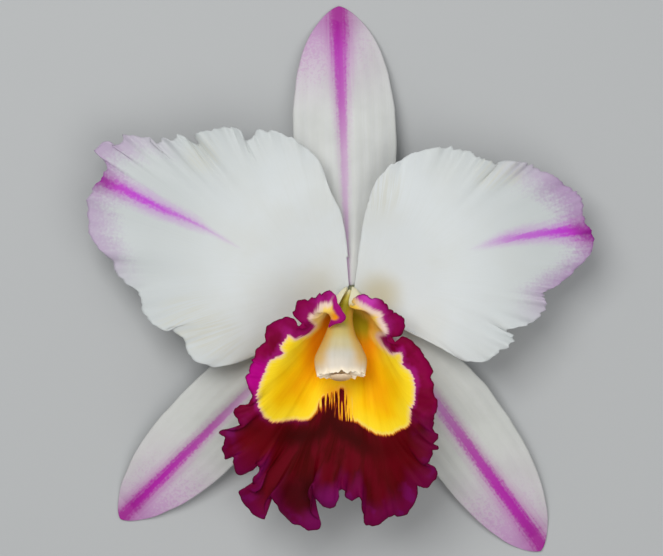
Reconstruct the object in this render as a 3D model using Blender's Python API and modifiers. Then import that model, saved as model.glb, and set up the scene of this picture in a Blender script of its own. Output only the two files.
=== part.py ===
"""A single cattleya bloom, picked, lying on its back and facing up.

Three sepals, two broad ruffled petals, the frilled lip, the column with its
anther cap, and the ovary that runs into the cut pedicel. +Z is up, out of the
face of the bloom, and +Y runs from its heart to the dorsal sepal.
"""

import math

import bmesh
import bpy
from mathutils import Vector

MM = 0.001

# The driving sizes, in millimetres. Every place is measured from the heart,
# the point where the sepals, the petals, the lip and the column meet.
HEART_HEIGHT = 13.0
GAP = 0.3
BLADE_THICKNESS = 0.8

# The layers at the heart, one above the other with the gap between them.
SEPAL_LAYER = -0.4
PETAL_LAYER = SEPAL_LAYER + BLADE_THICKNESS + GAP
COLUMN_LAYER = PETAL_LAYER + BLADE_THICKNESS / 2 + GAP
LIP_LAYER = PETAL_LAYER + 1.7
OVARY_TOP = SEPAL_LAYER - BLADE_THICKNESS / 2 - GAP

# Petals and lip: how far along the rim the frill is evened out inside the
# blade, and the share of the way outward at which it begins.
FRILL_REACH = 0.05
PETAL_FRILL_START = 0.45
LIP_FRILL_START = 0.5

# A ruffle is a broad wave, whose pace drifts, and a finer one.
BROAD_WAVE_SHARE = 0.65
WAVE_DRIFT = 0.35
WAVE_DRIFT_TURNS = 2.3
FINE_WAVE_PHASE = 2.1

# Sepals: heading in degrees from +X, where the claw begins, length, the half
# widths to the left and the right of the midrib looking out from the heart,
# and the midrib's bow.
SEPALS = {
    "dorsal_sepal": (92.1, 1.3, 79.4, 14.0, 14.6, 0.0),
    "lateral_sepal_left": (225.0, 3.9, 90.6, 11.8, 12.5, 0.0),
    "lateral_sepal_right": (306.3, 3.9, 90.6, 13.5, 12.3, 1.4),
}
SEPAL_CLAW_WIDTH = 0.17
SEPAL_TIP_WIDTH = 0.07
SEPAL_TAPER_START = 2.7
SEPAL_TAPER_END = 0.68
SEPAL_ROW_PACE = 1.6
SEPAL_ARCH = 2.1
SEPAL_ROLL = 2.2
SEPAL_GROOVE = 0.7
SEPAL_GROOVE_WIDTH = 0.22
SEPAL_TOUCH = 0.95

# Petals: the rim in plan, from beside the dorsal sepal round the tip to the
# lip, the heading of the midrib, and the two ends of the claw's edge.
PETAL_LEFT_RIM = (
    (-0.3, 7.7), (-1.2, 15.9), (-2.6, 21.9), (-5.4, 27.5), (-8.2, 35.1), (-16.1, 41.7),
    (-23.4, 43.9), (-28.1, 42.3), (-33.3, 44.7), (-40.2, 43.3), (-45.3, 41.4), (-51.5, 42.3),
    (-58.8, 42.0), (-65.9, 40.6), (-69.7, 38.2), (-67.2, 33.4), (-69.4, 29.1), (-72.2, 23.3),
    (-71.2, 16.0), (-66.2, 9.0), (-59.6, 0.8), (-55.8, -6.6), (-51.2, -11.2), (-45.5, -15.8),
    (-39.4, -20.7), (-32.0, -20.2), (-24.5, -17.2), (-15.0, -12.2), (-7.5, -7.6),
)
PETAL_RIGHT_RIM = (
    (2.3, 7.7), (3.2, 15.1), (4.5, 21.9), (7.1, 29.6), (11.6, 34.8), (18.2, 38.0),
    (25.6, 39.2), (31.0, 38.3), (35.4, 36.2), (40.0, 35.7), (45.3, 35.2), (52.2, 33.0),
    (58.8, 29.8), (62.8, 25.0), (64.7, 18.4), (67.0, 12.1), (65.6, 8.2), (60.4, 3.4),
    (54.2, -0.6), (53.5, -4.4), (49.6, -9.0), (43.6, -11.2), (43.9, -14.8), (38.9, -18.3),
    (32.2, -19.6), (24.5, -15.6), (15.0, -10.8), (7.5, -7.0),
)
PETALS = {
    "petal_left": (PETAL_LEFT_RIM, 160.0, ((-0.2, 1.3), (-1.0, -1.6))),
    "petal_right": (PETAL_RIGHT_RIM, 20.0, ((1.4, 1.3), (1.0, -1.6))),
}
PETAL_CLAW_REACH = 2.6
PETAL_BOW = 0.3
PETAL_BOW_START = 0.2
PETAL_ROW_PACE = 0.85
PETAL_RISE = 5.5
PETAL_OPEN_REACH = 30.0
PETAL_TIP_DROOP = 4.5
PETAL_DROOP_START = 35.0
PETAL_DROOP_REACH = 45.0
PETAL_RUFFLE = 1.4
PETAL_RUFFLE_START = 8
PETAL_WAVES = (9.0, 16.0)

# Lip: its rim from the fold beside the column's left shoulder, round the left
# side lobe, the frilled front lobe and the right side lobe, with heights.
LIP_RIM = (
    (-5.6, -10.1, 15.5), (-1.8, -6.3, 20.0), (-4.3, -1.2, 19.0), (-7.5, -0.2, 18.5),
    (-12.1, -2.3, 19.0), (-15.0, -4.4, 18.5), (-14.6, -7.2, 18.0), (-17.8, -8.0, 19.5),
    (-21.8, -9.8, 20.0), (-24.0, -13.8, 20.5), (-26.4, -18.4, 20.5), (-27.9, -23.2, 21.0),
    (-27.2, -27.4, 20.5), (-30.8, -31.6, 20.0), (-31.0, -36.0, 18.5), (-34.4, -38.6, 18.0),
    (-33.8, -44.2, 16.5), (-30.6, -47.8, 16.0), (-27.4, -51.2, 15.5), (-28.6, -56.4, 14.0),
    (-24.6, -61.0, 12.5), (-20.8, -58.6, 13.0), (-16.2, -62.0, 12.0), (-11.0, -62.8, 12.0),
    (-8.6, -59.4, 14.0), (-5.8, -57.4, 15.0), (-3.2, -54.8, 16.0), (-0.6, -56.2, 16.0),
    (2.6, -55.0, 15.5), (4.6, -61.6, 13.0), (8.2, -63.8, 12.0), (13.4, -62.4, 12.0),
    (17.4, -58.8, 14.0), (18.8, -54.8, 15.5), (22.4, -53.8, 16.5), (23.6, -48.4, 18.0),
    (23.0, -42.0, 19.0), (23.8, -36.0, 20.0), (23.6, -29.6, 20.0), (22.2, -24.2, 20.0),
    (20.8, -19.2, 20.0), (17.6, -14.4, 19.5), (14.0, -13.8, 19.0), (12.0, -12.2, 18.0),
    (13.4, -9.4, 17.0), (14.8, -6.8, 17.5), (12.8, -4.4, 17.5), (9.4, -2.0, 17.0),
    (5.6, -1.6, 16.8), (0.7, -2.9, 13.5),
)
LIP_FOOT_RADIUS = 2.4
LIP_FOOT_SHIFT = -1.7
LIP_FOOT_SLIT = 14.0
LIP_ROW_PACE = 0.9

# The tube leaves the foot upwards and forwards, more so in front, and the rim
# is reached flaring outwards, less so at the slit behind the column.
LIP_TUBE_REACH = 30.0
LIP_TUBE_SPREAD = 0.35
LIP_TUBE_LEAN = 0.5
LIP_TUBE_FRONT_LEAN = 0.25
LIP_TUBE_RISE = 0.8
LIP_TUBE_FRONT_SINK = 0.3
LIP_FLARE_REACH = 21.0
LIP_FLARE_SINK = 0.3
LIP_SLIT_FLARE = 0.3
LIP_SLIT_PACE = 10.0
LIP_RUFFLE = 1.5
LIP_SIDE_RUFFLE = 0.4
LIP_RUFFLE_START = 8
LIP_WAVES = (15.0, 26.0)
LIP_WAVE_PHASE = 0.7

# The right side lobe folds inwards over the column: where round the rim, how
# far, and which way.
LOBE_FOLD = 2.6
LOBE_FOLD_START = 0.93
LOBE_FOLD_NARROWNESS = 1.5
LOBE_FOLD_HEADING = (-0.8, -0.6, 0.0)

# Column: points along its axis, with half width and half thickness at each.
COLUMN_PATH = (
    (0.0, -1.3, COLUMN_LAYER, 1.3, 1.3),
    (-0.1, -1.6, 3.2, 1.4, 1.4),
    (-0.9, -4.4, 7.2, 2.1, 2.1),
    (-2.0, -8.1, 10.9, 2.9, 2.5),
    (-2.5, -12.2, 13.7, 4.2, 2.8),
    (-2.5, -15.9, 15.8, 6.0, 3.0),
    (-2.5, -18.9, 17.3, 7.1, 3.0),
    (-2.4, -22.8, 18.8, 6.5, 2.6),
)
COLUMN_STEP = 0.02
ANTHER_CAP_LENGTH = 1.3
ANTHER_CAP_HALF_WIDTH = 3.0
ANTHER_CAP_HALF_HEIGHT = 1.9

# Ovary and pedicel: the elbow turns it from behind the heart to the surface
# that the bloom lies on, and it runs along that under the lip.
PEDICEL_RADIUS = 2.6
PEDICEL_ROW_PACE = 1.25
PEDICEL_TAPER_START = 0.35
PEDICEL_TAPER_SPAN = 0.4
PEDICEL_REACH = 52.0
OVARY_RADIUS = 3.5
OVARY_RIB_END = 0.8
RECEPTACLE_RADIUS = 4.9
RECEPTACLE_SPAN = 0.02
ELBOW_RADIUS = 8.4
OVARY_RIBS = 6
OVARY_RIB_DEPTH = 0.35

# Colour and roughness of each piece.
SEPAL_FINISH = ((0.62, 0.62, 0.62), 0.5)
PETAL_FINISH = ((0.66, 0.67, 0.66), 0.5)
LIP_FINISH = ((0.16, 0.0, 0.04), 0.45)
COLUMN_FINISH = ((0.66, 0.58, 0.42), 0.4)
CAP_FINISH = ((0.75, 0.64, 0.56), 0.35)
PEDICEL_FINISH = ((0.35, 0.42, 0.16), 0.5)

# Fineness of each piece: columns round or across it, and rows along it.
SEPAL_GRID = (8, 16)
PETAL_GRID = (58, 9)
LIP_GRID = (120, 10)
COLUMN_RINGS = (18, 14)
CAP_RINGS = (14, 6)
PEDICEL_RINGS = (24, 20)
SMOOTH_ANGLE = 50


def through(points, share):
    """A smooth curve through the points, at a share of the way along them."""
    last = len(points) - 1
    place = min(max(share, 0.0), 1.0) * last
    index = min(int(place), last - 1)
    t = place - index
    before = points[max(index - 1, 0)]
    start = points[index]
    end = points[index + 1]
    after = points[min(index + 2, last)]
    found = []
    for a, b, c, d in zip(before, start, end, after):
        bend = (2 * a - 5 * b + 4 * c - d) * t * t + (3 * b - a - 3 * c + d) * t ** 3
        found.append(b + 0.5 * ((c - a) * t + bend))
    return found


def eased(share):
    """Rises smoothly from 0 to 1 as the share does."""
    share = min(max(share, 0.0), 1.0)
    return share * share * (3 - 2 * share)


def waves(share, counts, phase):
    """An uneven ruffle between about -1 and 1: a broad wave and a finer one."""
    broad, fine = counts
    drift = WAVE_DRIFT * math.sin(2 * math.pi * WAVE_DRIFT_TURNS * share + phase)
    first = math.sin(2 * math.pi * (broad * share + drift) + phase)
    second = math.sin(2 * math.pi * fine * share + FINE_WAVE_PHASE * phase)
    return BROAD_WAVE_SHARE * first + (1 - BROAD_WAVE_SHARE) * second


def averaged(points, share, reach):
    """The same curve with its frills evened out over a stretch each way."""
    steps = [share + reach * step / 3 for step in (-3, -2, -1, 0, 1, 2, 3)]
    found = [through(points, step) for step in steps]
    return Vector([sum(values) / len(values) for values in zip(*found)])


def sepal_width(share):
    """The half width from heart to tip, as a share of the widest."""
    if share < 0.5:
        return SEPAL_CLAW_WIDTH + (1 - SEPAL_CLAW_WIDTH) * math.sin(math.pi * share)
    taper = (1 - (2 * share - 1) ** SEPAL_TAPER_START) ** SEPAL_TAPER_END
    return max(SEPAL_TIP_WIDTH, taper)


def sepal_point(shape, along, across):
    """A point of a sepal: along from heart to tip, across from -1 to 1."""
    heading, claw, length, half_left, half_right, bow = shape
    angle = math.radians(heading)
    ahead = Vector((math.cos(angle), math.sin(angle)))
    leftward = Vector((-ahead.y, ahead.x))
    share = 1 - (1 - along) ** SEPAL_ROW_PACE
    half = half_left if across > 0 else half_right
    half *= sepal_width(share)
    reach = claw + (length - claw) * share
    side = across * half + bow * math.sin(math.pi * share)
    plan = ahead * reach + leftward * side
    low = BLADE_THICKNESS / 2
    lifted = min(share / SEPAL_TOUCH, 1.0)
    swell = math.sin(math.pi * lifted)
    arch = (HEART_HEIGHT + SEPAL_LAYER - low) * (1 - lifted ** SEPAL_ARCH)
    roll = SEPAL_ROLL * across * across * swell
    groove = SEPAL_GROOVE * math.exp(-(across / SEPAL_GROOVE_WIDTH) ** 2) * swell
    height = max(low + arch - roll - groove, low)
    return Vector((plan.x, plan.y, height))


def petal_point(shape, round_rim, outward):
    """A point of a petal: round its rim from 0 to 1, and outward from claw to rim."""
    rim, heading, claw = shape
    root = Vector(claw[0]).lerp(Vector(claw[1]), round_rim)
    edge = averaged(rim, round_rim, FRILL_REACH)
    frill = Vector(through(rim, round_rim)) - edge
    midrib = Vector((math.cos(math.radians(heading)), math.sin(math.radians(heading))))
    bow = PETAL_BOW * eased(min(round_rim, 1 - round_rim) / PETAL_BOW_START)
    pull = root + midrib * (edge - root).length * bow
    t = outward ** PETAL_ROW_PACE
    plan = root * (1 - t) ** 2 + pull * 2 * t * (1 - t) + edge * t * t
    plan += frill * eased((t - PETAL_FRILL_START) / (1 - PETAL_FRILL_START))
    openness = eased(edge.length / PETAL_OPEN_REACH)
    rise = PETAL_RISE * eased((plan.length - PETAL_CLAW_REACH) / PETAL_OPEN_REACH)
    droop = PETAL_TIP_DROOP * eased((plan.dot(midrib) - PETAL_DROOP_START) / PETAL_DROOP_REACH)
    ruffle = PETAL_RUFFLE * t ** PETAL_RUFFLE_START * openness
    ruffle *= waves(round_rim, PETAL_WAVES, heading)
    height = PETAL_LAYER + rise - droop + ruffle
    return Vector((plan.x, plan.y, HEART_HEIGHT + height))


def lip_tube(spoke, front):
    """The way in which the lip leaves its foot, at one spoke of the ring."""
    lean = LIP_TUBE_LEAN + LIP_TUBE_FRONT_LEAN * front
    rise = LIP_TUBE_RISE - LIP_TUBE_FRONT_SINK * front
    tube = spoke * LIP_TUBE_SPREAD + Vector((0, -lean, rise))
    return tube.normalized() * LIP_TUBE_REACH


def lip_flare(round_rim):
    """The way in which the lip arrives at its rim: outwards, square to it."""
    step = FRILL_REACH / 4
    along = averaged(LIP_RIM, round_rim + step, FRILL_REACH)
    along -= averaged(LIP_RIM, round_rim - step, FRILL_REACH)
    square = Vector((along.y, -along.x, 0)).normalized()
    from_slit = min(round_rim, 1 - round_rim)
    slit = min(1.0, LIP_SLIT_FLARE + LIP_SLIT_PACE * from_slit)
    return (square - Vector((0, 0, LIP_FLARE_SINK))) * LIP_FLARE_REACH * slit


def lobe_fold(round_rim, t):
    """How far the right side lobe is folded inwards over the column."""
    fold = eased((round_rim - LOBE_FOLD_START) / (1 - LOBE_FOLD_START))
    fold *= (4 * t * (1 - t)) ** LOBE_FOLD_NARROWNESS
    return Vector(LOBE_FOLD_HEADING) * LOBE_FOLD * fold


def lip_point(round_rim, outward):
    """A point of the lip: round its rim from 0 to 1, and outward from foot to rim."""
    open_turn = 360 - 2 * LIP_FOOT_SLIT
    angle = math.radians(90 + LIP_FOOT_SLIT + open_turn * round_rim)
    spoke = Vector((math.cos(angle), math.sin(angle), 0))
    front = max(0.0, -spoke.y)
    foot = spoke * LIP_FOOT_RADIUS + Vector((0, LIP_FOOT_SHIFT, LIP_LAYER))
    edge = averaged(LIP_RIM, round_rim, FRILL_REACH)
    frill = Vector(through(LIP_RIM, round_rim)) - edge
    t = outward ** LIP_ROW_PACE
    start = (1 + 2 * t) * (1 - t) ** 2
    place = foot * start + edge * (1 - start)
    place += lip_tube(spoke, front) * t * (1 - t) ** 2
    place += lip_flare(round_rim) * t * t * (t - 1)
    place += frill * eased((t - LIP_FRILL_START) / (1 - LIP_FRILL_START))
    place += lobe_fold(round_rim, t)
    share = LIP_SIDE_RUFFLE + (1 - LIP_SIDE_RUFFLE) * front
    ruffle = LIP_RUFFLE * share * t ** LIP_RUFFLE_START
    place.z += ruffle * waves(round_rim, LIP_WAVES, LIP_WAVE_PHASE)
    return place + Vector((0, 0, HEART_HEIGHT))


def link(name, mesh, finish):
    """An object of this mesh with its own material."""
    colour, roughness = finish
    piece = bpy.data.objects.new(name, mesh)
    material = bpy.data.materials.new(name)
    material.use_nodes = True
    shader = material.node_tree.nodes["Principled BSDF"]
    shader.inputs["Base Color"].default_value = (*colour, 1.0)
    shader.inputs["Roughness"].default_value = roughness
    shader.inputs["Metallic"].default_value = 0.0
    mesh.materials.append(material)
    return piece


def blade(name, grid, surface, finish):
    """A thin leaf of tissue: a grid laid on a surface, then given its thickness."""
    across, along = grid
    mesh = bpy.data.meshes.new(name)
    cells = bmesh.new()
    bmesh.ops.create_grid(cells, x_segments=across, y_segments=along, size=1.0)
    for vert in cells.verts:
        vert.co = surface((vert.co.x + 1) / 2, (vert.co.y + 1) / 2) * MM
    bmesh.ops.triangulate(cells, faces=cells.faces[:])
    cells.to_mesh(mesh)
    cells.free()
    piece = link(name, mesh, finish)
    wall = piece.modifiers.new("thickness", "SOLIDIFY")
    wall.thickness = BLADE_THICKNESS * MM
    wall.offset = 0.0
    return piece


def loft(name, rings, finish):
    """A closed solid through rings of points, which all have the same count."""
    mesh = bpy.data.meshes.new(name)
    solid = bmesh.new()
    rows = [[solid.verts.new(point * MM) for point in ring] for ring in rings]
    for lower, upper in zip(rows, rows[1:]):
        for i in range(len(lower)):
            following = (i + 1) % len(lower)
            solid.faces.new((lower[i], lower[following], upper[following], upper[i]))
    solid.faces.new(rows[0][::-1])
    solid.faces.new(rows[-1])
    bmesh.ops.triangulate(solid, faces=solid.faces[:])
    bmesh.ops.recalc_face_normals(solid, faces=solid.faces[:])
    solid.to_mesh(mesh)
    solid.free()
    mesh.shade_smooth()
    mesh.set_sharp_from_angle(angle=math.radians(SMOOTH_ANGLE))
    return link(name, mesh, finish)


def oval(centre, ahead, half_width, half_thickness, sides):
    """A ring of points square to its heading, with its width kept level."""
    across = Vector((1, 0, 0))
    across = (across - ahead * across.dot(ahead)).normalized()
    back = ahead.cross(across)
    ring = []
    for i in range(sides):
        angle = 2 * math.pi * i / sides
        point = centre + across * half_width * math.cos(angle)
        ring.append(point + back * half_thickness * math.sin(angle))
    return ring


def make_sepals():
    pieces = []
    for name, shape in SEPALS.items():
        def surface(x, y, shape=shape):
            return sepal_point(shape, y, 2 * x - 1)
        pieces.append(blade(name, SEPAL_GRID, surface, SEPAL_FINISH))
    return pieces


def make_petals():
    pieces = []
    for name, shape in PETALS.items():
        def surface(x, y, shape=shape):
            return petal_point(shape, x, y)
        pieces.append(blade(name, PETAL_GRID, surface, PETAL_FINISH))
    return pieces


def make_lip():
    return blade("lip", LIP_GRID, lip_point, LIP_FINISH)


def column_axis(share):
    """The column's centre, half width and half thickness at a share of its length."""
    x, y, z, half_width, half_thickness = through(COLUMN_PATH, share)
    return Vector((x, y, z + HEART_HEIGHT)), half_width, half_thickness


def column_heading(share):
    """The way in which the column points at a share of its length."""
    after, _, _ = column_axis(min(share + COLUMN_STEP, 1.0))
    before, _, _ = column_axis(max(share - COLUMN_STEP, 0.0))
    return (after - before).normalized()


def make_column():
    sides, steps = COLUMN_RINGS
    rings = []
    for step in range(steps):
        share = step / (steps - 1)
        centre, half_width, half_thickness = column_axis(share)
        ahead = column_heading(share) if step else Vector((0, 0, 1))
        rings.append(oval(centre, ahead, half_width, half_thickness, sides))
    return loft("column", rings, COLUMN_FINISH)


def make_anther_cap():
    """The rounded cap that closes the end of the column."""
    tip, _, _ = column_axis(1.0)
    ahead = column_heading(1.0)
    sides, steps = CAP_RINGS
    rings = []
    for step in range(steps):
        turn = 0.5 * math.pi * step / steps
        centre = tip + ahead * (GAP + ANTHER_CAP_LENGTH * math.sin(turn))
        half_width = ANTHER_CAP_HALF_WIDTH * math.cos(turn)
        half_height = ANTHER_CAP_HALF_HEIGHT * math.cos(turn)
        rings.append(oval(centre, ahead, half_width, half_height, sides))
    return loft("anther_cap", rings, CAP_FINISH)


def pedicel_axis(share):
    """Centre and heading of the ovary and pedicel, from the heart to the cut end."""
    top = HEART_HEIGHT + OVARY_TOP
    quarter = 0.5 * math.pi * ELBOW_RADIUS
    straight = PEDICEL_REACH - ELBOW_RADIUS
    drop = top - ELBOW_RADIUS - OVARY_RADIUS
    place = share * (quarter + straight)
    if place < quarter:
        turn = place / ELBOW_RADIUS
        y = -ELBOW_RADIUS * (1 - math.cos(turn))
        z = top - (ELBOW_RADIUS + drop) * math.sin(turn)
        heading = Vector((0, -math.sin(turn), -math.cos(turn)))
        return Vector((0, y, z)), heading
    y = -ELBOW_RADIUS - (place - quarter)
    z = OVARY_RADIUS
    return Vector((0, y, z)), Vector((0, -1, 0))


def pedicel_radius(share):
    """Flared under the sepals, then the ovary's swelling, then the pedicel."""
    flare = (RECEPTACLE_RADIUS - OVARY_RADIUS) * math.exp(-share / RECEPTACLE_SPAN)
    taper = eased((share - PEDICEL_TAPER_START) / PEDICEL_TAPER_SPAN)
    return OVARY_RADIUS + flare - (OVARY_RADIUS - PEDICEL_RADIUS) * taper


def make_pedicel():
    sides, steps = PEDICEL_RINGS
    rings = []
    for step in range(steps):
        share = (step / (steps - 1)) ** PEDICEL_ROW_PACE
        centre, heading = pedicel_axis(share)
        radius = pedicel_radius(share)
        centre.z -= max(0.0, OVARY_RADIUS - radius) * (share > PEDICEL_TAPER_START)
        across = Vector((1, 0, 0))
        back = heading.cross(across)
        ribs = OVARY_RIB_DEPTH * math.sin(math.pi * min(1.0, share / OVARY_RIB_END))
        ring = []
        for i in range(sides):
            angle = 2 * math.pi * i / sides
            rib = radius + ribs * math.cos(OVARY_RIBS * angle)
            point = centre + (across * math.cos(angle) + back * math.sin(angle)) * rib
            point.z = max(point.z, 0.0)
            ring.append(point)
        rings.append(ring)
    return loft("pedicel", rings, PEDICEL_FINISH)


def centre_on_origin(pieces, holder):
    """Move the whole bloom so that the middle of its box stands over the origin."""
    view = bpy.context.evaluated_depsgraph_get()
    corners = []
    for piece in pieces:
        shape = piece.evaluated_get(view)
        corners += [shape.matrix_world @ Vector(corner) for corner in shape.bound_box]
    for axis in (0, 1):
        low = min(corner[axis] for corner in corners)
        high = max(corner[axis] for corner in corners)
        holder.location[axis] = -(low + high) / 2


def main():
    for thing in list(bpy.data.objects):
        bpy.data.objects.remove(thing)
    collection = bpy.data.collections.new("cattleya_orchid")
    bpy.context.scene.collection.children.link(collection)
    holder = bpy.data.objects.new("bloom", None)
    collection.objects.link(holder)
    pieces = make_sepals() + make_petals()
    pieces += [make_lip(), make_column(), make_anther_cap(), make_pedicel()]
    for piece in pieces:
        collection.objects.link(piece)
        piece.parent = holder
    centre_on_origin(pieces, holder)


main()
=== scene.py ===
# %% [markdown]
# # A cattleya bloom, picked and laid face up
# The solids of the bloom are already made at their real size. They give each piece its place,
# and this lesson lays a finer skin over each one: thin ruffled blades, veins, stripes and the
# velvet of the lip. Every size is in millimetres from the heart of the bloom, where all its
# pieces meet, with the height counted from the table.

# %% Load the frame
import math

import bpy
import numpy as np
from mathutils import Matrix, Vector


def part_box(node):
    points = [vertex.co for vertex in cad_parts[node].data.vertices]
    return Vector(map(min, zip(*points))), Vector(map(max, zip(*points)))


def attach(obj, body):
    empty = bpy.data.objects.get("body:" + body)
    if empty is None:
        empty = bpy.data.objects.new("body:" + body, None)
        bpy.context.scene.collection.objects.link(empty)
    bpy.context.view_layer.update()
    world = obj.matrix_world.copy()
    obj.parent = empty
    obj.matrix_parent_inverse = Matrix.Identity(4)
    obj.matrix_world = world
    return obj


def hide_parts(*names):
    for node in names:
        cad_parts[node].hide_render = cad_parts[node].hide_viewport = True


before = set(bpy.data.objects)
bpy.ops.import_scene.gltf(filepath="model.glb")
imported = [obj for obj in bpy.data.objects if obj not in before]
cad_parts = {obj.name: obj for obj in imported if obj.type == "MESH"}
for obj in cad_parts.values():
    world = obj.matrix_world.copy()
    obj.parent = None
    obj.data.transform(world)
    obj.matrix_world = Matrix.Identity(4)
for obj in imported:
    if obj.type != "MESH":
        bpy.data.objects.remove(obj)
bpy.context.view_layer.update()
print("nodes:", sorted(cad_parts))

# %% [markdown]
# ## Where the heart is
# The pedicel's solid is the one piece whose box tells where the heart stands: it is even on
# both sides of the heart, and its cut end lies a known reach below it. Measuring from the solid
# keeps the finer pieces on their nodes wherever the whole bloom is moved.

# %% Find the heart
MM = 0.001
HEART_HEIGHT = 13.0
PEDICEL_REACH = 52.0
pedicel_low, pedicel_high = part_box("pedicel")
HEART = Vector((
    (pedicel_low.x + pedicel_high.x) / 2 / MM,
    pedicel_low.y / MM + PEDICEL_REACH,
    0.0,
))
print("heart, mm:", [round(value, 2) for value in HEART])

# %% [markdown]
# ## Floor, camera and light
# The bloom lies on its back, so it is seen from straight above, from far enough away that the
# rim and the heart keep their proportions. A grey table a little darker than the petals lets
# their white edges show. Two broad soft lights are enough: the key from the upper left draws
# the ruffles, and the fill from the lower right keeps the shadows open.

# %% Lay the table top
TABLE_METRES = 6.0
TABLE_GREY = (0.46, 0.47, 0.47, 1)
TABLE_ROUGHNESS = 0.85

bpy.ops.object.select_all(action="DESELECT")
bpy.ops.mesh.primitive_plane_add(size=TABLE_METRES, location=(0, 0, 0))
floor = bpy.context.active_object
floor.name = "table_top"
paint = bpy.data.materials.new("pale_table")
paint.use_nodes = True
paint_shader = paint.node_tree.nodes["Principled BSDF"]
paint_shader.inputs["Base Color"].default_value = TABLE_GREY
paint_shader.inputs["Roughness"].default_value = TABLE_ROUGHNESS
floor.data.materials.append(paint)
print("table top, metres:", TABLE_METRES)

# %% Hang the camera above the heart
VIEW_WIDTH = 182.7
CAMERA_RISE = 800.0
CAMERA_OFFSET = (-4.96, 3.31)
SENSOR = 36.0

over_heart = (HEART.x + CAMERA_OFFSET[0], HEART.y + CAMERA_OFFSET[1], HEART_HEIGHT + CAMERA_RISE)
bpy.ops.object.camera_add(location=Vector(over_heart) * MM, rotation=(0, 0, 0))
camera = bpy.context.active_object
camera.data.sensor_width = SENSOR
camera.data.lens = SENSOR * CAMERA_RISE / VIEW_WIDTH
bpy.context.scene.camera = camera
print("lens, mm:", round(camera.data.lens, 1))

# %% Light it softly
ROOM_TINT = (0.93, 0.96, 1.0, 1)
ROOM_STRENGTH = 0.24


def soft_light(name, place, size, power):
    """A square soft box that faces the middle of the bloom: metres and watts."""
    aim = Vector(place).to_track_quat("Z", "Y").to_euler()
    bpy.ops.object.light_add(type="AREA", location=place, rotation=aim)
    lamp = bpy.context.active_object
    lamp.name = name
    lamp.data.size = size
    lamp.data.energy = power
    print(name, "watts:", power)


soft_light("key_light", place=(-0.20, 0.26, 0.70), size=0.45, power=3.6)
soft_light("fill_light", place=(0.25, -0.22, 0.75), size=0.7, power=2.5)
world = bpy.data.worlds.new("soft_room")
world.use_nodes = True
room = world.node_tree.nodes["Background"]
room.inputs["Color"].default_value = ROOM_TINT
room.inputs["Strength"].default_value = ROOM_STRENGTH
bpy.context.scene.world = world
bpy.context.scene.view_settings.view_transform = "Standard"

# %% [markdown]
# ## Curves, easing and ruffles
# A petal's rim is drawn as a few dozen points, and a smooth curve runs through them.
# All the shapes are worked out for a whole grid at once, so each helper takes an array.
# The ruffle is a broad wave and a finer one whose pace drifts, because an even wave would
# look stamped.

# %% Curve helpers
def through(points, share):
    """Points of a smooth curve through the given ones, at shares of the way along them."""
    knots = np.array(points, float)
    last = len(knots) - 1
    place = np.clip(share, 0.0, 1.0) * last
    index = np.minimum(place.astype(int), last - 1)
    t = (place - index)[:, None]
    before = knots[np.maximum(index - 1, 0)]
    start = knots[index]
    end = knots[index + 1]
    after = knots[np.minimum(index + 2, last)]
    bend = (2 * before - 5 * start + 4 * end - after) * t ** 2
    bend += (3 * start - before - 3 * end + after) * t ** 3
    return start + 0.5 * ((end - before) * t + bend)


def averaged(points, share, reach, half):
    """The same curve with its frills evened out over a stretch each way, in this many steps."""
    steps = [through(points, share + reach * step / half) for step in range(-half, half + 1)]
    return sum(steps) / len(steps)


def eased(share):
    """Rises smoothly from 0 to 1 as the share does."""
    share = np.clip(share, 0.0, 1.0)
    return share * share * (3 - 2 * share)


def growing(share, start):
    """0 up to the start share, then eased up to 1 at the end."""
    return eased((share - start) / (1 - start))


print("a share of 0.25 is eased to", eased(0.25), "and grows from 0.2 to", growing(0.25, 0.2))

# %% Ruffle helpers
WAVE_DRIFT = 0.35
WAVE_DRIFT_COUNT = 2.3
BROAD_SHARE = 0.65


def waves(share, counts, phase):
    """An uneven ruffle between about -1 and 1: a broad wave and a finer one."""
    broad, fine = counts
    drift = WAVE_DRIFT * np.sin(2 * math.pi * WAVE_DRIFT_COUNT * share + phase)
    first = np.sin(2 * math.pi * (broad * share + drift) + phase)
    second = np.sin(2 * math.pi * fine * share + 2.1 * phase)
    return BROAD_SHARE * first + (1 - BROAD_SHARE) * second


def wander(share, count, seed):
    """A smooth random line between -1 and 1 with this many turns."""
    knots = np.random.default_rng(seed).uniform(-1, 1, (count + 1, 1))
    return through(knots, share)[:, 0]


def toothed(share, rows):
    """Small uneven teeth: rows of (height in mm, how many turns, seed) added up."""
    return sum(height * wander(share, count, seed) for height, count, seed in rows)


def unit(vectors):
    """The same vectors, each with a length of one."""
    return vectors / np.maximum(np.linalg.norm(vectors, axis=1, keepdims=True), 1e-9)


print("a ruffle of 3 waves:", np.round(waves(np.linspace(0, 1, 7), (3, 5), 0.0), 2))

# %% [markdown]
# ## Distances to a drawn line
# The stripes of the petals and the edge of the yellow throat are lines drawn on the plan of the
# bloom. Each point of a blade keeps its distance to such a line as an attribute, and the
# finish turns that distance into colour. So a marking is as sharp as the render needs.

# %% Line helpers
FAR = 1e9
TINY = 1e-9


def line_distance(plan, line):
    """For each point of the plan, the distance to a line and the share along it there."""
    best = np.full(len(plan), FAR)
    run = np.zeros(len(plan))
    for index in range(len(line) - 1):
        start = line[index]
        leg = line[index + 1] - start
        share = np.clip((plan - start) @ leg / max(leg @ leg, TINY), 0, 1)
        gap = np.linalg.norm(plan - start - share[:, None] * leg, axis=1)
        nearer = gap < best
        best[nearer] = gap[nearer]
        run[nearer] = (index + share[nearer]) / (len(line) - 1)
    return best, run


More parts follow.
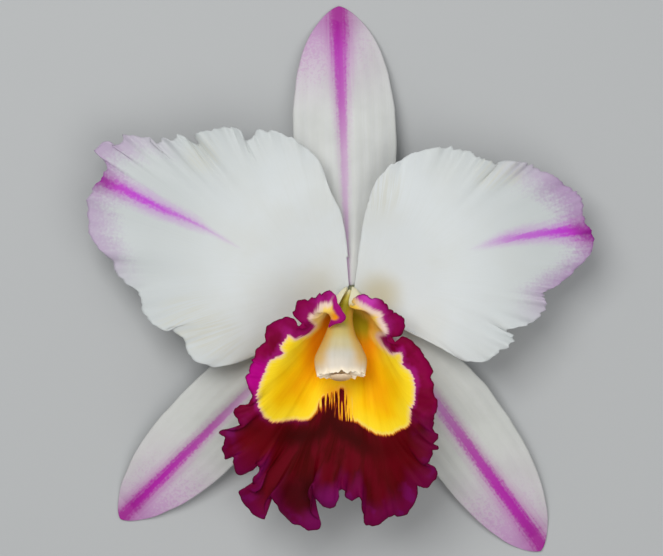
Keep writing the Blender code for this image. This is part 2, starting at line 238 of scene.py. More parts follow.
def inside_loop(plan, line):
    """Which points of the plan lie inside a closed line."""
    inside = np.zeros(len(plan), bool)
    for (ax, ay), (bx, by) in zip(line[:-1], line[1:]):
        spans = (ay > plan[:, 1]) != (by > plan[:, 1])
        rise = by - ay if abs(by - ay) > TINY else TINY
        crossing = (bx - ax) * (plan[:, 1] - ay) / rise + ax
        inside ^= spans & (plan[:, 0] < crossing)
    return inside


sample_line = np.array(((0.0, 0.0), (10.0, 0.0)))
print("3 mm beside a line:", line_distance(np.array(((5.0, 3.0),)), sample_line)[0])

# %% [markdown]
# ## From a flat grid to a thin blade
# Each blade starts as a grid primitive. Its points are laid on the blade's surface by a
# formula, as a sculptor would push them, and Solidify then gives the wall, which thins
# towards the rim as in the real tissue. Simulated cloth would hang too softly: fresh petals
# are stiff.

# %% Lay a grid on a surface
def store(piece, name, values):
    """Keep one number for each point of a piece, for its finish to read."""
    column = piece.data.attributes.new(name, "FLOAT", "POINT")
    column.data.foreach_set("value", np.ascontiguousarray(values, np.float32))


def name_piece(name):
    """Name the primitive that was just added, and read where its points are."""
    piece = bpy.context.active_object
    piece.name = name
    piece.data.name = name
    points = np.empty(len(piece.data.vertices) * 3)
    piece.data.vertices.foreach_get("co", points)
    return piece, points.reshape(-1, 3)


def place_points(piece, places):
    """Put the points of a piece at these places, in millimetres from the heart."""
    world_places = (places + np.array(HEART)) * MM
    piece.data.vertices.foreach_set("co", world_places.ravel())
    piece.data.update()


def weigh(piece, weights):
    """A vertex group that says where the wall is thick."""
    group = piece.vertex_groups.new(name="wall")
    levels = np.round(np.clip(weights, 0, 1), 2)
    for level in np.unique(levels):
        members = np.nonzero(levels == level)[0].tolist()
        group.add(members, float(level), "REPLACE")


def grid_blade(name, cells, surface):
    """A grid primitive laid on a surface, which also gives the numbers that its finish reads."""
    bpy.ops.object.select_all(action="DESELECT")
    bpy.ops.mesh.primitive_grid_add(x_subdivisions=cells[0], y_subdivisions=cells[1], size=2)
    piece, flat = name_piece(name)
    flat = (flat + 1) / 2
    places, numbers, thinness = surface(flat[:, 0], flat[:, 1])
    place_points(piece, places)
    order = np.lexsort((flat[:, 0], flat[:, 1]))
    lines = places[order].reshape(cells[1] + 1, cells[0] + 1, 3)
    steps = np.linalg.norm(np.diff(lines, axis=0, prepend=lines[:1]), axis=2)
    reach = np.cumsum(steps, axis=0)
    numbers["reach"] = np.empty(len(flat))
    numbers["rim"] = np.empty(len(flat))
    numbers["reach"][order] = reach.ravel()
    numbers["rim"][order] = (reach[-1] - reach).ravel()
    numbers["outward"] = numbers["reach"] / (numbers["reach"] + numbers["rim"])
    for key, values in numbers.items():
        store(piece, key, values)
    weigh(piece, 1 - thinness)
    print(name, "longest line from root to rim, mm:", round(float(reach[-1].max()), 1))
    return piece


# %% Give it a wall and a finish
WALL = 0.7
RIM_WALL_SHARE = 0.45


def thicken(piece):
    """Give the blade its wall, and shade it smooth."""
    bpy.ops.object.select_all(action="DESELECT")
    piece.select_set(True)
    bpy.context.view_layer.objects.active = piece
    solid = piece.modifiers.new("wall", "SOLIDIFY")
    solid.thickness = WALL * MM
    solid.offset = 0.0
    solid.vertex_group = "wall"
    solid.thickness_vertex_group = RIM_WALL_SHARE
    bpy.ops.object.modifier_apply(modifier="wall")
    bpy.ops.object.shade_smooth()
    print(piece.name, "faces:", len(piece.data.polygons))


def dress(piece, node, finish):
    """Let a piece stand for its solid, with its finish."""
    piece.data.materials.clear()
    piece.data.materials.append(finish)
    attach(piece, "root")
    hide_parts(node)
    print(node, "wears", finish.name)


print("wall, mm:", WALL, "and at the rim:", round(WALL * RIM_WALL_SHARE, 2))

# %% [markdown]
# ## A finish, node by node
# A petal's colour is built in layers, as a painter would: the ground first, then veins, then
# the stripe, then a breath of lilac. This small class adds one node at a time and hands back
# its output, so the layers read from top to bottom.

# %% Finish helper
HALO_STRENGTH = 0.5


class Finish:
    """A material under construction. Each method adds its nodes and gives back their output."""

    def __init__(self, name):
        self.material = bpy.data.materials.new(name)
        self.material.use_nodes = True
        self.tree = self.material.node_tree
        self.shader = self.tree.nodes["Principled BSDF"]
        self.place = self.add("ShaderNodeTexCoord").outputs["Object"]

    def add(self, kind):
        """A new node of this kind."""
        return self.tree.nodes.new(kind)

    def feed(self, socket, value):
        """Link an output to a socket, or set the socket to a plain value."""
        if isinstance(value, bpy.types.NodeSocket):
            self.tree.links.new(value, socket)
        elif isinstance(value, (tuple, list)) and len(value) == 3 and socket.type == "RGBA":
            socket.default_value = (*value, 1.0)
        else:
            socket.default_value = value

    def number(self, name):
        """A number that the piece keeps at each point."""
        node = self.add("ShaderNodeAttribute")
        node.attribute_name = name
        return node.outputs["Fac"]

    def calc(self, operation, first, second=0.0, third=0.0):
        """One step of arithmetic on outputs or plain numbers."""
        node = self.add("ShaderNodeMath")
        node.operation = operation
        for socket, value in zip(node.inputs, (first, second, third)):
            self.feed(socket, value)
        return node.outputs["Value"]

    def times(self, first, second):
        """Both values multiplied."""
        return self.calc("MULTIPLY", first, second)

    def beside(self, value, middle):
        """How far a value is from its middle, on either side."""
        return self.calc("ABSOLUTE", self.calc("SUBTRACT", value, middle))

    def ragged(self, value, noise, amount):
        """A value pushed up and down by a noise, so that what is drawn from it has torn edges."""
        return self.calc("MULTIPLY_ADD", self.calc("SUBTRACT", noise, 0.5), amount, value)

    def fade(self, value, start, end):
        """0 at the start value, 1 at the end value, and smooth between them."""
        node = self.add("ShaderNodeMapRange")
        node.interpolation_type = "SMOOTHSTEP"
        self.feed(node.inputs["Value"], value)
        self.feed(node.inputs["From Min"], start)
        self.feed(node.inputs["From Max"], end)
        return node.outputs["Result"]

    def graph(self, value, stops):
        """A drawn graph: straight lines between stops of (place from 0 to 1, height)."""
        node = self.add("ShaderNodeValToRGB")
        self.feed(node.inputs["Fac"], value)
        marks = node.color_ramp.elements
        while len(marks) < len(stops):
            marks.new(0.5)
        for mark, (place, height) in zip(marks, stops):
            mark.position = place
            mark.color = (height, height, height, 1.0)
        return node.outputs["Color"]

    def distance(self, place):
        """The distance in mm to a place that is given in mm from the heart."""
        node = self.add("ShaderNodeVectorMath")
        node.operation = "DISTANCE"
        self.feed(node.inputs[0], self.place)
        node.inputs[1].default_value = (Vector(place) + HEART) * MM
        return self.calc("DIVIDE", node.outputs["Value"], MM)

    def noise(self, vector, scale, detail=2.0, rough=0.5):
        """A cloudy pattern from 0 to 1, mostly near its middle."""
        node = self.add("ShaderNodeTexNoise")
        self.feed(node.inputs["Vector"], vector)
        self.feed(node.inputs["Scale"], scale)
        self.feed(node.inputs["Detail"], detail)
        self.feed(node.inputs["Roughness"], rough)
        return node.outputs["Fac"]

    def streaks(self, across, along, detail, rough=0.5):
        """A noise drawn out in one direction: (number, pace) across the streaks and along."""
        node = self.add("ShaderNodeCombineXYZ")
        self.feed(node.inputs["X"], self.times(*across))
        self.feed(node.inputs["Y"], self.times(*along))
        return self.noise(node.outputs["Vector"], 1.0, detail, rough)

    def glaze(self, colour, tint, where, share=1.0):
        """Another colour over the first one where the mask is 1, as thick as the share."""
        node = self.add("ShaderNodeMix")
        node.data_type = "RGBA"
        self.feed(node.inputs["Factor"], where if share == 1.0 else self.times(where, share))
        self.feed(node.inputs[6], colour)
        self.feed(node.inputs[7], tint)
        return node.outputs[2]

    def feathered(self, off, halo, core):
        """A stripe: a pale halo round a strong core, each given as its edge and where it is full."""
        pale = self.times(self.fade(off, *halo), HALO_STRENGTH)
        return self.calc("MAXIMUM", pale, self.fade(off, *core))

    def relief(self, height, depth):
        """A bump of this depth in millimetres."""
        node = self.add("ShaderNodeBump")
        node.inputs["Distance"].default_value = depth * MM
        node.inputs["Strength"].default_value = 1.0
        self.feed(node.inputs["Height"], height)
        self.feed(self.shader.inputs["Normal"], node.outputs["Normal"])

    def settle(self, colour, roughness, glow=0.0, sheen=0.0, specular=0.3):
        """Set the surface: its colour, its gloss, how much light glows through it, its sheen."""
        self.feed(self.shader.inputs["Base Color"], colour)
        self.feed(self.shader.inputs["Roughness"], roughness)
        self.shader.inputs["Specular IOR Level"].default_value = specular
        self.shader.inputs["Subsurface Weight"].default_value = glow
        self.shader.inputs["Subsurface Radius"].default_value = (1.0, 1.0, 1.0)
        self.shader.inputs["Subsurface Scale"].default_value = MM
        self.shader.inputs["Sheen Weight"].default_value = sheen
        return self.material


print("a finish has", len([tool for tool in vars(Finish) if tool[0] != "_"]), "tools")

# %% [markdown]
# ## Sepals
# The three sepals are narrow, pointed and plain-edged. Each one arches back from the heart and
# comes down on its tip, with a groove along the midrib. A blade from a curve object would
# do, but a grid keeps the numbers along and across it, which the stripe and the veins follow.

# %% Sepal sizes
BLADE_THICKNESS = 0.8
SEPAL_LAYER = -0.4
# heading in degrees, where it starts and ends, half widths left and right, sideways bow
SEPALS = {
    "dorsal_sepal": (92.1, 1.3, 79.4, 14.0, 14.6, 0.0),
    "lateral_sepal_left": (225.0, 3.9, 90.6, 11.8, 12.5, 0.0),
    "lateral_sepal_right": (306.3, 3.9, 90.6, 13.5, 12.3, 1.4),
}
SEPAL_CLAW_WIDTH = 0.17
SEPAL_TIP_WIDTH = 0.07
SEPAL_TIP_ROUND = 0.02
SEPAL_BELLY = 2.7
SEPAL_POINT = 0.68
SEPAL_ARCH = 2.1
SEPAL_ROLL = 2.2
SEPAL_GROOVE = 0.7
SEPAL_GROOVE_WIDTH = 0.12
SEPAL_TOUCH = 0.95
SEPAL_ROW_CROWDING = 1.6
SEPAL_VEIN_HEIGHT = 0.05
SEPAL_VEIN_PACE = 26
SEPAL_EDGE_WANDER = 0.012
SEPAL_EDGE_TURNS = 24


def sepal_width(share):
    """The half width from heart to tip, as a share of the widest."""
    inner = SEPAL_CLAW_WIDTH + (1 - SEPAL_CLAW_WIDTH) * np.sin(math.pi * np.minimum(share, 0.5))
    taper = np.clip(1 - np.abs(2 * share - 1) ** SEPAL_BELLY, 0, 1) ** SEPAL_POINT
    outer = np.maximum(SEPAL_TIP_WIDTH * eased((1 - share) / SEPAL_TIP_ROUND), taper)
    return np.where(share < 0.5, inner, outer)


print("half width, as shares of the widest:", np.round(sepal_width(np.linspace(0, 1, 6)), 2))

# %% Sepal shape
def sepal_surface(shape):
    """The surface of one sepal: x across it and y from heart to tip, both from 0 to 1."""
    heading, claw, length, half_left, half_right, bow = shape
    angle = math.radians(heading)
    ahead = np.array((math.cos(angle), math.sin(angle)))
    leftward = np.array((-ahead[1], ahead[0]))

    def surface(x, y):
        across = 2 * x - 1
        share = 1 - (1 - y) ** SEPAL_ROW_CROWDING
        half = np.where(across > 0, half_left, half_right) * sepal_width(share)
        half = half * (1 + SEPAL_EDGE_WANDER * wander(share, SEPAL_EDGE_TURNS, int(heading)))
        reach = claw + (length - claw) * share
        side = across * half + bow * np.sin(math.pi * share)
        plan = reach[:, None] * ahead + side[:, None] * leftward
        low = BLADE_THICKNESS / 2
        lifted = np.minimum(share / SEPAL_TOUCH, 1.0)
        swell = np.sin(math.pi * lifted)
        arch = (HEART_HEIGHT + SEPAL_LAYER - low) * (1 - lifted ** SEPAL_ARCH)
        groove = SEPAL_GROOVE * np.exp(-(across / SEPAL_GROOVE_WIDTH) ** 2) * (0.25 + 0.75 * swell)
        roll = SEPAL_ROLL * across ** 2 * swell
        veins = SEPAL_VEIN_HEIGHT * np.cos(SEPAL_VEIN_PACE * across) * swell
        height = np.maximum(low + arch - roll - groove + veins, low)
        numbers = {"along": share, "across": across, "side": side}
        return np.column_stack((plan, height)), numbers, across ** 4

    return surface


# %% Make the sepals
SEPAL_CELLS = (64, 150)
sepals = {}
for name, shape in SEPALS.items():
    sepals[name] = grid_blade("fine_" + name, SEPAL_CELLS, sepal_surface(shape))
    thicken(sepals[name])

# %% [markdown]
# ## Petals
# The two petals are broad fans. All the points spread out from the narrow claw to the rim,
# so the ruffles can grow towards the rim and die out before the heart. The rim is drawn in plan
# from beside the dorsal sepal, round the tip, to the lip. Its frills come in two sizes: lobes
# that begin well inside the rim, and nicks that begin close to it. One size for both would
# draw every nick as a long crease down the petal.

# %% Left petal rim
PETAL_LEFT_RIM = (
    (-0.3, 7.7), (-1.2, 15.9), (-2.6, 21.9), (-5.4, 27.5), (-8.2, 35.1), (-12.0, 39.0), (-16.1, 41.7),
    (-19.5, 43.2), (-22.3, 43.7), (-25.9, 43.1), (-26.9, 41.4), (-28.9, 41.3), (-29.7, 43.4),
    (-31.5, 44.3), (-33.3, 44.6), (-36.5, 44.2), (-39.6, 43.5), (-42.4, 43.0), (-41.8, 41.0),
    (-41.3, 39.6), (-43.9, 40.8), (-45.0, 41.9), (-47.3, 42.5), (-48.1, 40.8), (-50.6, 41.6),
    (-52.3, 40.6), (-54.6, 40.5), (-54.9, 41.9), (-58.5, 42.3), (-62.0, 42.4), (-62.9, 40.5),
    (-64.9, 39.5), (-66.3, 40.8), (-70.1, 38.5), (-67.8, 36.0), (-66.9, 33.5), (-68.2, 30.9),
    (-70.9, 27.2), (-72.2, 23.2), (-71.7, 17.7), (-69.3, 11.6), (-66.2, 9.2), (-64.2, 5.7),
    (-62.3, 2.6), (-58.0, -0.7), (-56.5, -5.4), (-54.4, -8.7), (-50.4, -11.2), (-49.0, -10.5),
    (-45.5, -13.1), (-44.4, -16.6), (-39.6, -20.6), (-32.0, -20.2), (-24.5, -17.2), (-15.0, -12.2),
    (-7.5, -7.6),
)
print("left rim:", len(PETAL_LEFT_RIM), "points")

# %% Right petal rim
PETAL_RIGHT_RIM = (
    (2.3, 7.7), (3.2, 15.1), (4.5, 21.9), (7.1, 29.6), (10.6, 33.6), (14.4, 36.0), (18.9, 38.0),
    (25.7, 39.1), (29.5, 38.8), (32.6, 37.9), (35.1, 36.4), (37.9, 35.5), (40.5, 34.4), (41.3, 35.4),
    (46.4, 35.4), (49.5, 34.4), (52.1, 33.0), (56.9, 30.6), (61.4, 27.7), (63.4, 26.0), (64.2, 22.1),
    (64.5, 19.0), (66.4, 16.0), (66.9, 11.9), (65.0, 8.7), (61.0, 4.6), (56.9, 1.4), (53.6, -0.4),
    (53.3, -1.9), (54.1, -3.5), (52.5, -6.7), (48.8, -9.3), (43.2, -10.9), (44.8, -12.6), (44.0, -14.8),
    (40.7, -17.2), (36.7, -19.3), (31.8, -19.5), (24.5, -15.6), (15.0, -10.8), (7.5, -7.0),
)
print("right rim:", len(PETAL_RIGHT_RIM), "points")

# %% Stripe lines and petal sizes
STRIPE_LEFT = (
    (-29.5, 11.2), (-36.9, 15.4), (-41.0, 17.6), (-46.1, 20.0), (-52.1, 22.6), (-57.7, 25.5),
    (-63.9, 28.4), (-69.5, 31.0),
)
STRIPE_RIGHT = (
    (32.5, 11.0), (35.8, 11.9), (41.2, 13.6), (46.7, 14.7), (52.2, 15.5), (57.7, 16.1), (61.8, 16.3),
    (66.5, 15.9),
)
CLAW_LEFT = ((-0.2, 1.3), (-1.0, -1.6))
CLAW_RIGHT = ((1.4, 1.3), (1.0, -1.6))
# rim, heading of the midrib in degrees, stripe, the two ends of the claw
PETALS = {
    "petal_left": (PETAL_LEFT_RIM, 160.0, STRIPE_LEFT, CLAW_LEFT),
    "petal_right": (PETAL_RIGHT_RIM, 20.0, STRIPE_RIGHT, CLAW_RIGHT),
}
FRILL_REACH = 0.05
FRILL_START = 0.8
NICK_REACH = 0.022
NICK_START = 0.9
PETAL_LAYER = 0.7
PETAL_ROW_CROWDING = 1.15
PETAL_ROW_EVENING = 0.85
PETAL_FRILL_STEPS = 20
PETAL_NICK_STEPS = 8
PETAL_CLAW_REACH = 2.6
PETAL_BOW = 0.3
PETAL_BOW_START = 0.2
PETAL_RISE = 5.5
PETAL_OPEN_REACH = 30.0
PETAL_TIP_DROOP = 4.5
PETAL_DROOP_START = 35
PETAL_DROOP_SPAN = 45
PETAL_RUFFLE = 1.1
PETAL_WAVES = (9.0, 16.0)
PETAL_RUFFLE_STEEPNESS = 12
PETAL_FINE_RUFFLE = 0.35
PETAL_FINE_WAVES = (37.0, 61.0)
PETAL_FINE_STEEPNESS = 24
PETAL_TEETH = ((0.45, 150), (0.25, 330))
PETAL_TOOTH_STEEPNESS = 14
for name, (_, heading, stripe, _) in PETALS.items():
    print(name, "heads", heading, "degrees, with a stripe of", len(stripe), "points")

# %% Petal shape
def petal_surface(shape):
    """The surface of one petal: x round its rim and y outward from the claw, from 0 to 1."""
    rim, heading, stripe, claw = shape
    first, last = np.array(claw)
    midrib = np.array((math.cos(math.radians(heading)), math.sin(math.radians(heading))))
    stripe_line = through(stripe, np.linspace(0, 1, 40))
    tooth_rows = [(*row, int(heading) + step) for step, row in enumerate(PETAL_TEETH)]

    def surface(x, y):
        root = first + (last - first) * x[:, None]
        edge = averaged(rim, x, FRILL_REACH, PETAL_FRILL_STEPS)
        lobes = averaged(rim, x, NICK_REACH, PETAL_NICK_STEPS)
        bow = PETAL_BOW * eased(np.minimum(x, 1 - x) / PETAL_BOW_START)
        pull = root + midrib * (bow * np.linalg.norm(edge - root, axis=1))[:, None]
        outward = 1 - (1 - y) ** PETAL_ROW_CROWDING
        t = (outward ** PETAL_ROW_EVENING)[:, None]
        plan = root * (1 - t) ** 2 + pull * 2 * t * (1 - t) + edge * t * t
        plan += (lobes - edge) * growing(t, FRILL_START)
        openness = eased(np.linalg.norm(edge, axis=1) / PETAL_OPEN_REACH)
        plan += (through(rim, x) - lobes) * openness[:, None] * growing(t, NICK_START)
        t = t[:, 0]
        teeth = toothed(x, tooth_rows) * t ** PETAL_TOOTH_STEEPNESS * openness
        plan += unit(edge) * teeth[:, None]
        distance = np.linalg.norm(plan, axis=1)
        rise = PETAL_RISE * eased((distance - PETAL_CLAW_REACH) / PETAL_OPEN_REACH)
        droop = PETAL_TIP_DROOP * eased((plan @ midrib - PETAL_DROOP_START) / PETAL_DROOP_SPAN)
        broad = PETAL_RUFFLE * t ** PETAL_RUFFLE_STEEPNESS
        fine = PETAL_FINE_RUFFLE * t ** PETAL_FINE_STEEPNESS
        ruffle = broad * waves(x, PETAL_WAVES, heading)
        ruffle += fine * waves(x, PETAL_FINE_WAVES, heading + 1)
        height = HEART_HEIGHT + PETAL_LAYER + rise - droop + ruffle * openness
        away, run = line_distance(plan, stripe_line)
        numbers = {"round_rim": x * 100, "stripe": away, "stripe_run": run}
        return np.column_stack((plan, height)), numbers, t ** 3

    return surface


# %% Make the petals
PETAL_CELLS = (400, 66)
petals = {}
for name, shape in PETALS.items():
    petals[name] = grid_blade("fine_" + name, PETAL_CELLS, petal_surface(shape))
    thicken(petals[name])

# %% [markdown]
# ## Lip
# The lip is the third petal, rolled into an open tube with a wide frilled mouth. It is one
# sheet, so it is one grid: a ring at the foot, a rim drawn round the mouth with heights, and
# between them a curve that leaves the foot upwards and arrives flaring outwards.

# %% Lip rim
LIP_RIM = (
    (-5.6, -10.1, 15.5), (-5.1, -9.6, 16.5), (-3.5, -8.9, 18.5), (-2.1, -8.5, 19.5), (-1.2, -7.6, 20),
    (-1.5, -6.4, 20.3), (-2.4, -4.8, 20.3), (-3.3, -3.4, 20), (-3.6, -1.8, 19.5), (-4.3, -0.8, 19),
    (-5.9, -0.1, 18.5), (-7.2, -0.7, 19), (-7.6, -1.2, 19.3), (-8.2, -0.9, 19), (-9.1, -2.1, 19),
    (-10.1, -1.8, 18.8), (-11.0, -2.6, 19.3), (-12.4, -2.3, 18.8), (-13.8, -2.7, 18.5),
    (-14.4, -3.7, 18.3), (-14.9, -5.2, 18), (-15.3, -6.1, 17.6), (-14.4, -7.5, 17.8), (-13.2, -8.5, 18),
    (-12.2, -9.4, 18.5), (-12.9, -9.8, 19), (-14.4, -9.5, 19.4), (-14.8, -8.3, 19.6),
    (-15.7, -7.5, 19.7), (-17.2, -7.3, 19.6), (-18.9, -7.7, 19.4), (-20.7, -8.7, 19.6),
    (-22.3, -9.9, 20), (-22.8, -11.5, 20.3), (-22.8, -13.7, 21), (-24.0, -14.8, 20.6),
    (-25.3, -15.9, 20), (-25.5, -17.6, 20.5), (-26.4, -18.6, 20.2), (-26.2, -19.4, 20.8),
    (-27.0, -21.0, 20.4), (-27.2, -22.1, 20.8), (-28.3, -23.2, 20.2), (-27.6, -24.9, 20.8),
    (-27.0, -26.7, 21.3), (-26.4, -28.2, 21.6), (-26.7, -29.6, 21.2), (-27.8, -30.6, 20.5),
    (-29.5, -31.0, 20), (-30.9, -31.9, 19.5), (-31.3, -33.0, 19.4), (-30.5, -34.6, 20),
    (-29.7, -36.2, 20.3), (-30.1, -37.1, 20), (-32.5, -37.6, 19), (-35.1, -38.0, 18),
    (-34.6, -39.0, 18.3), (-33.7, -39.9, 18.7), (-33.8, -41.3, 18.4), (-34.6, -42.8, 17.6),
    (-33.9, -44.4, 17.4), (-33.9, -45.7, 16.8), (-32.6, -44.8, 17.4), (-31.5, -44.8, 17.8),
    (-31.4, -47.2, 16.6), (-30.6, -49.1, 15.8), (-28.9, -49.8, 15.4), (-27.1, -49.0, 15.6),
    (-26.1, -47.4, 16.6), (-24.8, -47.1, 17.2), (-24.3, -48.4, 16.4), (-25.2, -50.1, 15.6),
    (-26.5, -51.5, 14.8), (-25.8, -52.8, 14.6), (-24.4, -54.1, 14.8), (-26.5, -54.7, 14.2),
    (-28.7, -54.7, 13.8), (-30.2, -55.1, 13.4), (-29.2, -57.0, 13), (-27.5, -59.2, 12.6),
    (-25.4, -61.3, 12.4), (-23.4, -61.8, 12.4), (-23.0, -59.1, 13), (-22.3, -56.5, 14),
    (-21.3, -55.5, 15), (-20.7, -57.3, 14.2), (-19.2, -59.7, 13.2), (-17.3, -61.9, 12.6),
    (-16.2, -63.0, 12.2), (-14.1, -63.7, 12.2), (-12.6, -64.4, 12), (-10.5, -65.3, 12),
    (-8.6, -64.7, 12.4), (-8.2, -63.0, 13), (-9.4, -61.6, 13.6), (-10.4, -59.8, 14),
    (-10.8, -57.6, 14.4), (-11.0, -55.3, 15.4), (-10.5, -53.1, 16.4), (-9.4, -55.9, 15.2),
    (-7.8, -58.2, 14.6), (-5.6, -58.9, 14.2), (-3.7, -58.3, 14.4), (-3.3, -56.2, 15),
    (-3.1, -54.4, 15.6), (-2.1, -53.5, 16.2), (-1.4, -54.5, 15.4), (-0.9, -56.1, 14.6),
    (0.3, -56.9, 14), (1.9, -56.4, 14), (2.9, -56.0, 14.4), (3.6, -57.3, 14), (3.4, -59.0, 13.2),
    (3.7, -61.0, 12.6), (4.0, -63.0, 12.2), (5.2, -64.0, 12), (7.1, -63.7, 12), (9.3, -62.9, 12.2),
    (10.8, -61.6, 12.8), (12.0, -61.2, 12.9), (13.8, -61.5, 12.6), (15.8, -60.4, 12.8),
    (17.1, -58.2, 13.4), (18.1, -55.9, 14), (18.2, -53.2, 15.2), (19.4, -53.0, 15.6),
    (20.7, -53.7, 15.2), (22.1, -52.2, 15.8), (23.2, -50.4, 16.4), (23.4, -48.1, 17.2),
    (21.6, -47.5, 18), (20.0, -47.1, 18.6), (21.4, -45.9, 18.8), (22.1, -44.3, 18.8),
    (22.2, -43.1, 18.9), (23.8, -42.9, 18.5), (23.6, -42.0, 18.8), (22.7, -41.3, 19.2),
    (23.6, -40.0, 18.9), (23.6, -38.7, 19), (22.6, -37.6, 19.4), (22.7, -35.5, 19.6),
    (22.5, -33.9, 19.7), (23.2, -32.6, 19.5), (23.4, -30.7, 19.6), (23.5, -29.4, 19.7),
    (22.3, -27.6, 20.2), (22.6, -26.0, 20), (22.1, -24.0, 20.2), (21.8, -22.9, 20.4), (22.2, -21.7, 20),
    (21.2, -19.3, 20.1), (19.9, -17.7, 20), (19.0, -16.0, 20), (17.2, -14.2, 20), (15.6, -12.8, 19.8),
    (14.0, -12.5, 19.6), (13.1, -13.4, 19.4), (12.3, -14.1, 19), (11.1, -13.7, 18.4), (10.5, -13.1, 18),
    (11.4, -12.4, 17.4), (13.0, -12.2, 17.2), (14.3, -11.5, 17), (14.8, -9.9, 17.2), (14.8, -8.4, 17.4),
    (13.9, -7.0, 17.5), (12.4, -6.1, 17.6), (11.6, -6.1, 17.8), (11.5, -5.3, 17.5), (10.4, -5.0, 17.6),
    (10.0, -3.8, 17.4), (9.2, -3.5, 17.4), (8.5, -2.4, 17.1), (7.3, -2.1, 17), (5.8, -2.3, 16.9),
    (4.6, -1.4, 16.5), (3.4, -1.0, 16), (2.1, -1.6, 15.4), (1.1, -2.2, 14.4), (0.7, -2.9, 13.5),
)
print("lip rim:", len(LIP_RIM), "points, heights from", LIP_RIM[-1][2], "up")

# %% Edge of the yellow throat
YELLOW_EDGE = (
    (-0.2, -1.8), (-1.9, -2.5), (-3.2, -2.8), (-4.0, -2.1), (-4.6, -2.8), (-5.6, -3.7), (-6.7, -3.7),
    (-7.8, -4.0), (-8.3, -5.1), (-8.9, -5.9), (-9.7, -6.7), (-10.4, -6.8), (-11.0, -7.5), (-10.5, -8.2),
    (-9.6, -9.5), (-10.2, -10.4), (-11.6, -11.7), (-13.5, -12.3), (-14.8, -12.9), (-15.7, -12.3),
    (-16.6, -11.7), (-17.2, -12.6), (-17.8, -13.7), (-18.6, -14.9), (-19.1, -14.6), (-18.9, -15.7),
    (-18.2, -16.7), (-18.9, -17.6), (-19.9, -17.7), (-20.7, -18.4), (-21.5, -18.7), (-22.3, -19.9),
    (-22.9, -21.5), (-23.8, -23.7), (-24.4, -25.3), (-24.9, -27.4), (-25.1, -29.3), (-24.7, -31.5),
    (-23.7, -33.2), (-23.5, -34.2), (-22.6, -34.6), (-21.8, -35.3), (-21.0, -35.9), (-18.9, -35.8),
    (-16.7, -35.4), (-14.8, -35.3), (-13.5, -35.6), (-11.0, -35.4), (-9.7, -34.2), (-8.5, -32.6),
    (-7.5, -30.7), (-6.4, -29.9), (-5.4, -29.1), (-3.7, -28.3), (-2.4, -27.0), (-1.8, -27.4),
    (-1.6, -30.7), (-1.2, -33.8), (0.1, -35.1), (2.3, -36.3), (5.3, -38.3), (7.9, -39.4), (10.8, -39.4),
    (12.7, -38.6), (13.8, -37.8), (14.9, -37.4), (15.9, -36.9), (16.6, -35.5), (16.5, -33.4),
    (16.6, -31.5), (17.3, -30.7), (17.6, -29.1), (17.7, -26.4), (17.4, -24.5), (17.0, -23.1),
    (16.5, -21.9), (15.7, -21.2), (14.6, -20.1), (14.1, -18.8), (13.9, -17.2), (13.5, -16.5),
    (12.4, -17.1), (11.1, -16.7), (10.3, -15.8), (9.2, -14.8), (8.4, -13.4), (8.0, -12.5), (8.7, -11.9),
    (9.6, -11.4), (9.7, -10.3), (8.9, -9.1), (8.4, -7.9), (8.3, -6.5), (7.3, -5.9), (6.0, -5.5),
    (4.9, -4.7), (3.8, -4.0), (2.5, -3.3), (1.5, -2.6), (0.8, -2.2), (-0.2, -1.8),
)
print("yellow edge:", len(YELLOW_EDGE), "points")

# %% [markdown]
# ## From the foot of the lip to its rim
# Each line from foot to rim is a cubic curve with a handle at both ends, as a drawn path has.
# The foot handles point up the tube, and the rim handles point square out of the mouth. The
# rim's heading is evened out over a long stretch first, or the handles would follow every
# frill and groove the yellow. The right side lobe folds a little over the column.

# %% Lip sizes
LIP_LAYER = 2.4
LIP_ROW_CROWDING = 1.25
LIP_ROW_EVENING = 0.9
LIP_STEPS = 30
LIP_FOOT_RADIUS = 2.4
LIP_FOOT_SHIFT = -1.7
LIP_FOOT_SLIT = 14.0
LIP_TUBE_REACH = 30.0
LIP_TUBE_SPREAD = 0.35
LIP_TUBE_FORWARD = (-0.5, -0.25)
LIP_TUBE_UPWARD = (0.8, -0.3)
LIP_FLARE_REACH = 21.0
LIP_FLARE_DIP = (0, 0, -0.3)
SLIT_SHARE = 0.3
SLIT_PACE = 10
LIP_RUFFLE = 1.5
LIP_WAVES = (15.0, 26.0)
LIP_RUFFLE_STEEPNESS = 12
LIP_RUFFLE_AT_BACK = 0.4
LIP_FRILL_START = 0.55
LIP_FRILL_DELAY = 0.22
HEADING_REACH = 0.075
FINE_REACH = 0.012
FINE_STEPS = 8
FINE_START = 0.8
LOBE_FOLD = 2.6
LOBE_FOLD_START = 0.93
LOBE_FOLD_NARROWNESS = 1.5
LOBE_FOLD_HEADING = (-0.8, -0.6, 0.0)
RIM_CURL = 0.5
RIM_CURL_START = 0.94
SMALL_FRILLS = 46
SMALL_FRILL_DRIFT = 0.7
SMALL_FRILL_HEIGHT = 0.6
SMALL_FRILL_SWAY = 0.35
SMALL_FRILL_STEEPNESS = 10
SMALL_FRILL_AT_BACK = 0.35
LIP_TEETH = ((0.22, 260, 8), (0.14, 520, 9))
LIP_TOOTH_STEEPNESS = 26


def even_reach(x):
    """How far the rim is evened out each way: further round the broad lobes than at the ends."""
    return FRILL_REACH * (1 + 1.2 * eased((np.minimum(x, 1 - x) - 0.1) / 0.1))


print("the rim is evened out over", np.round(even_reach(np.linspace(0, 0.5, 5)), 3))

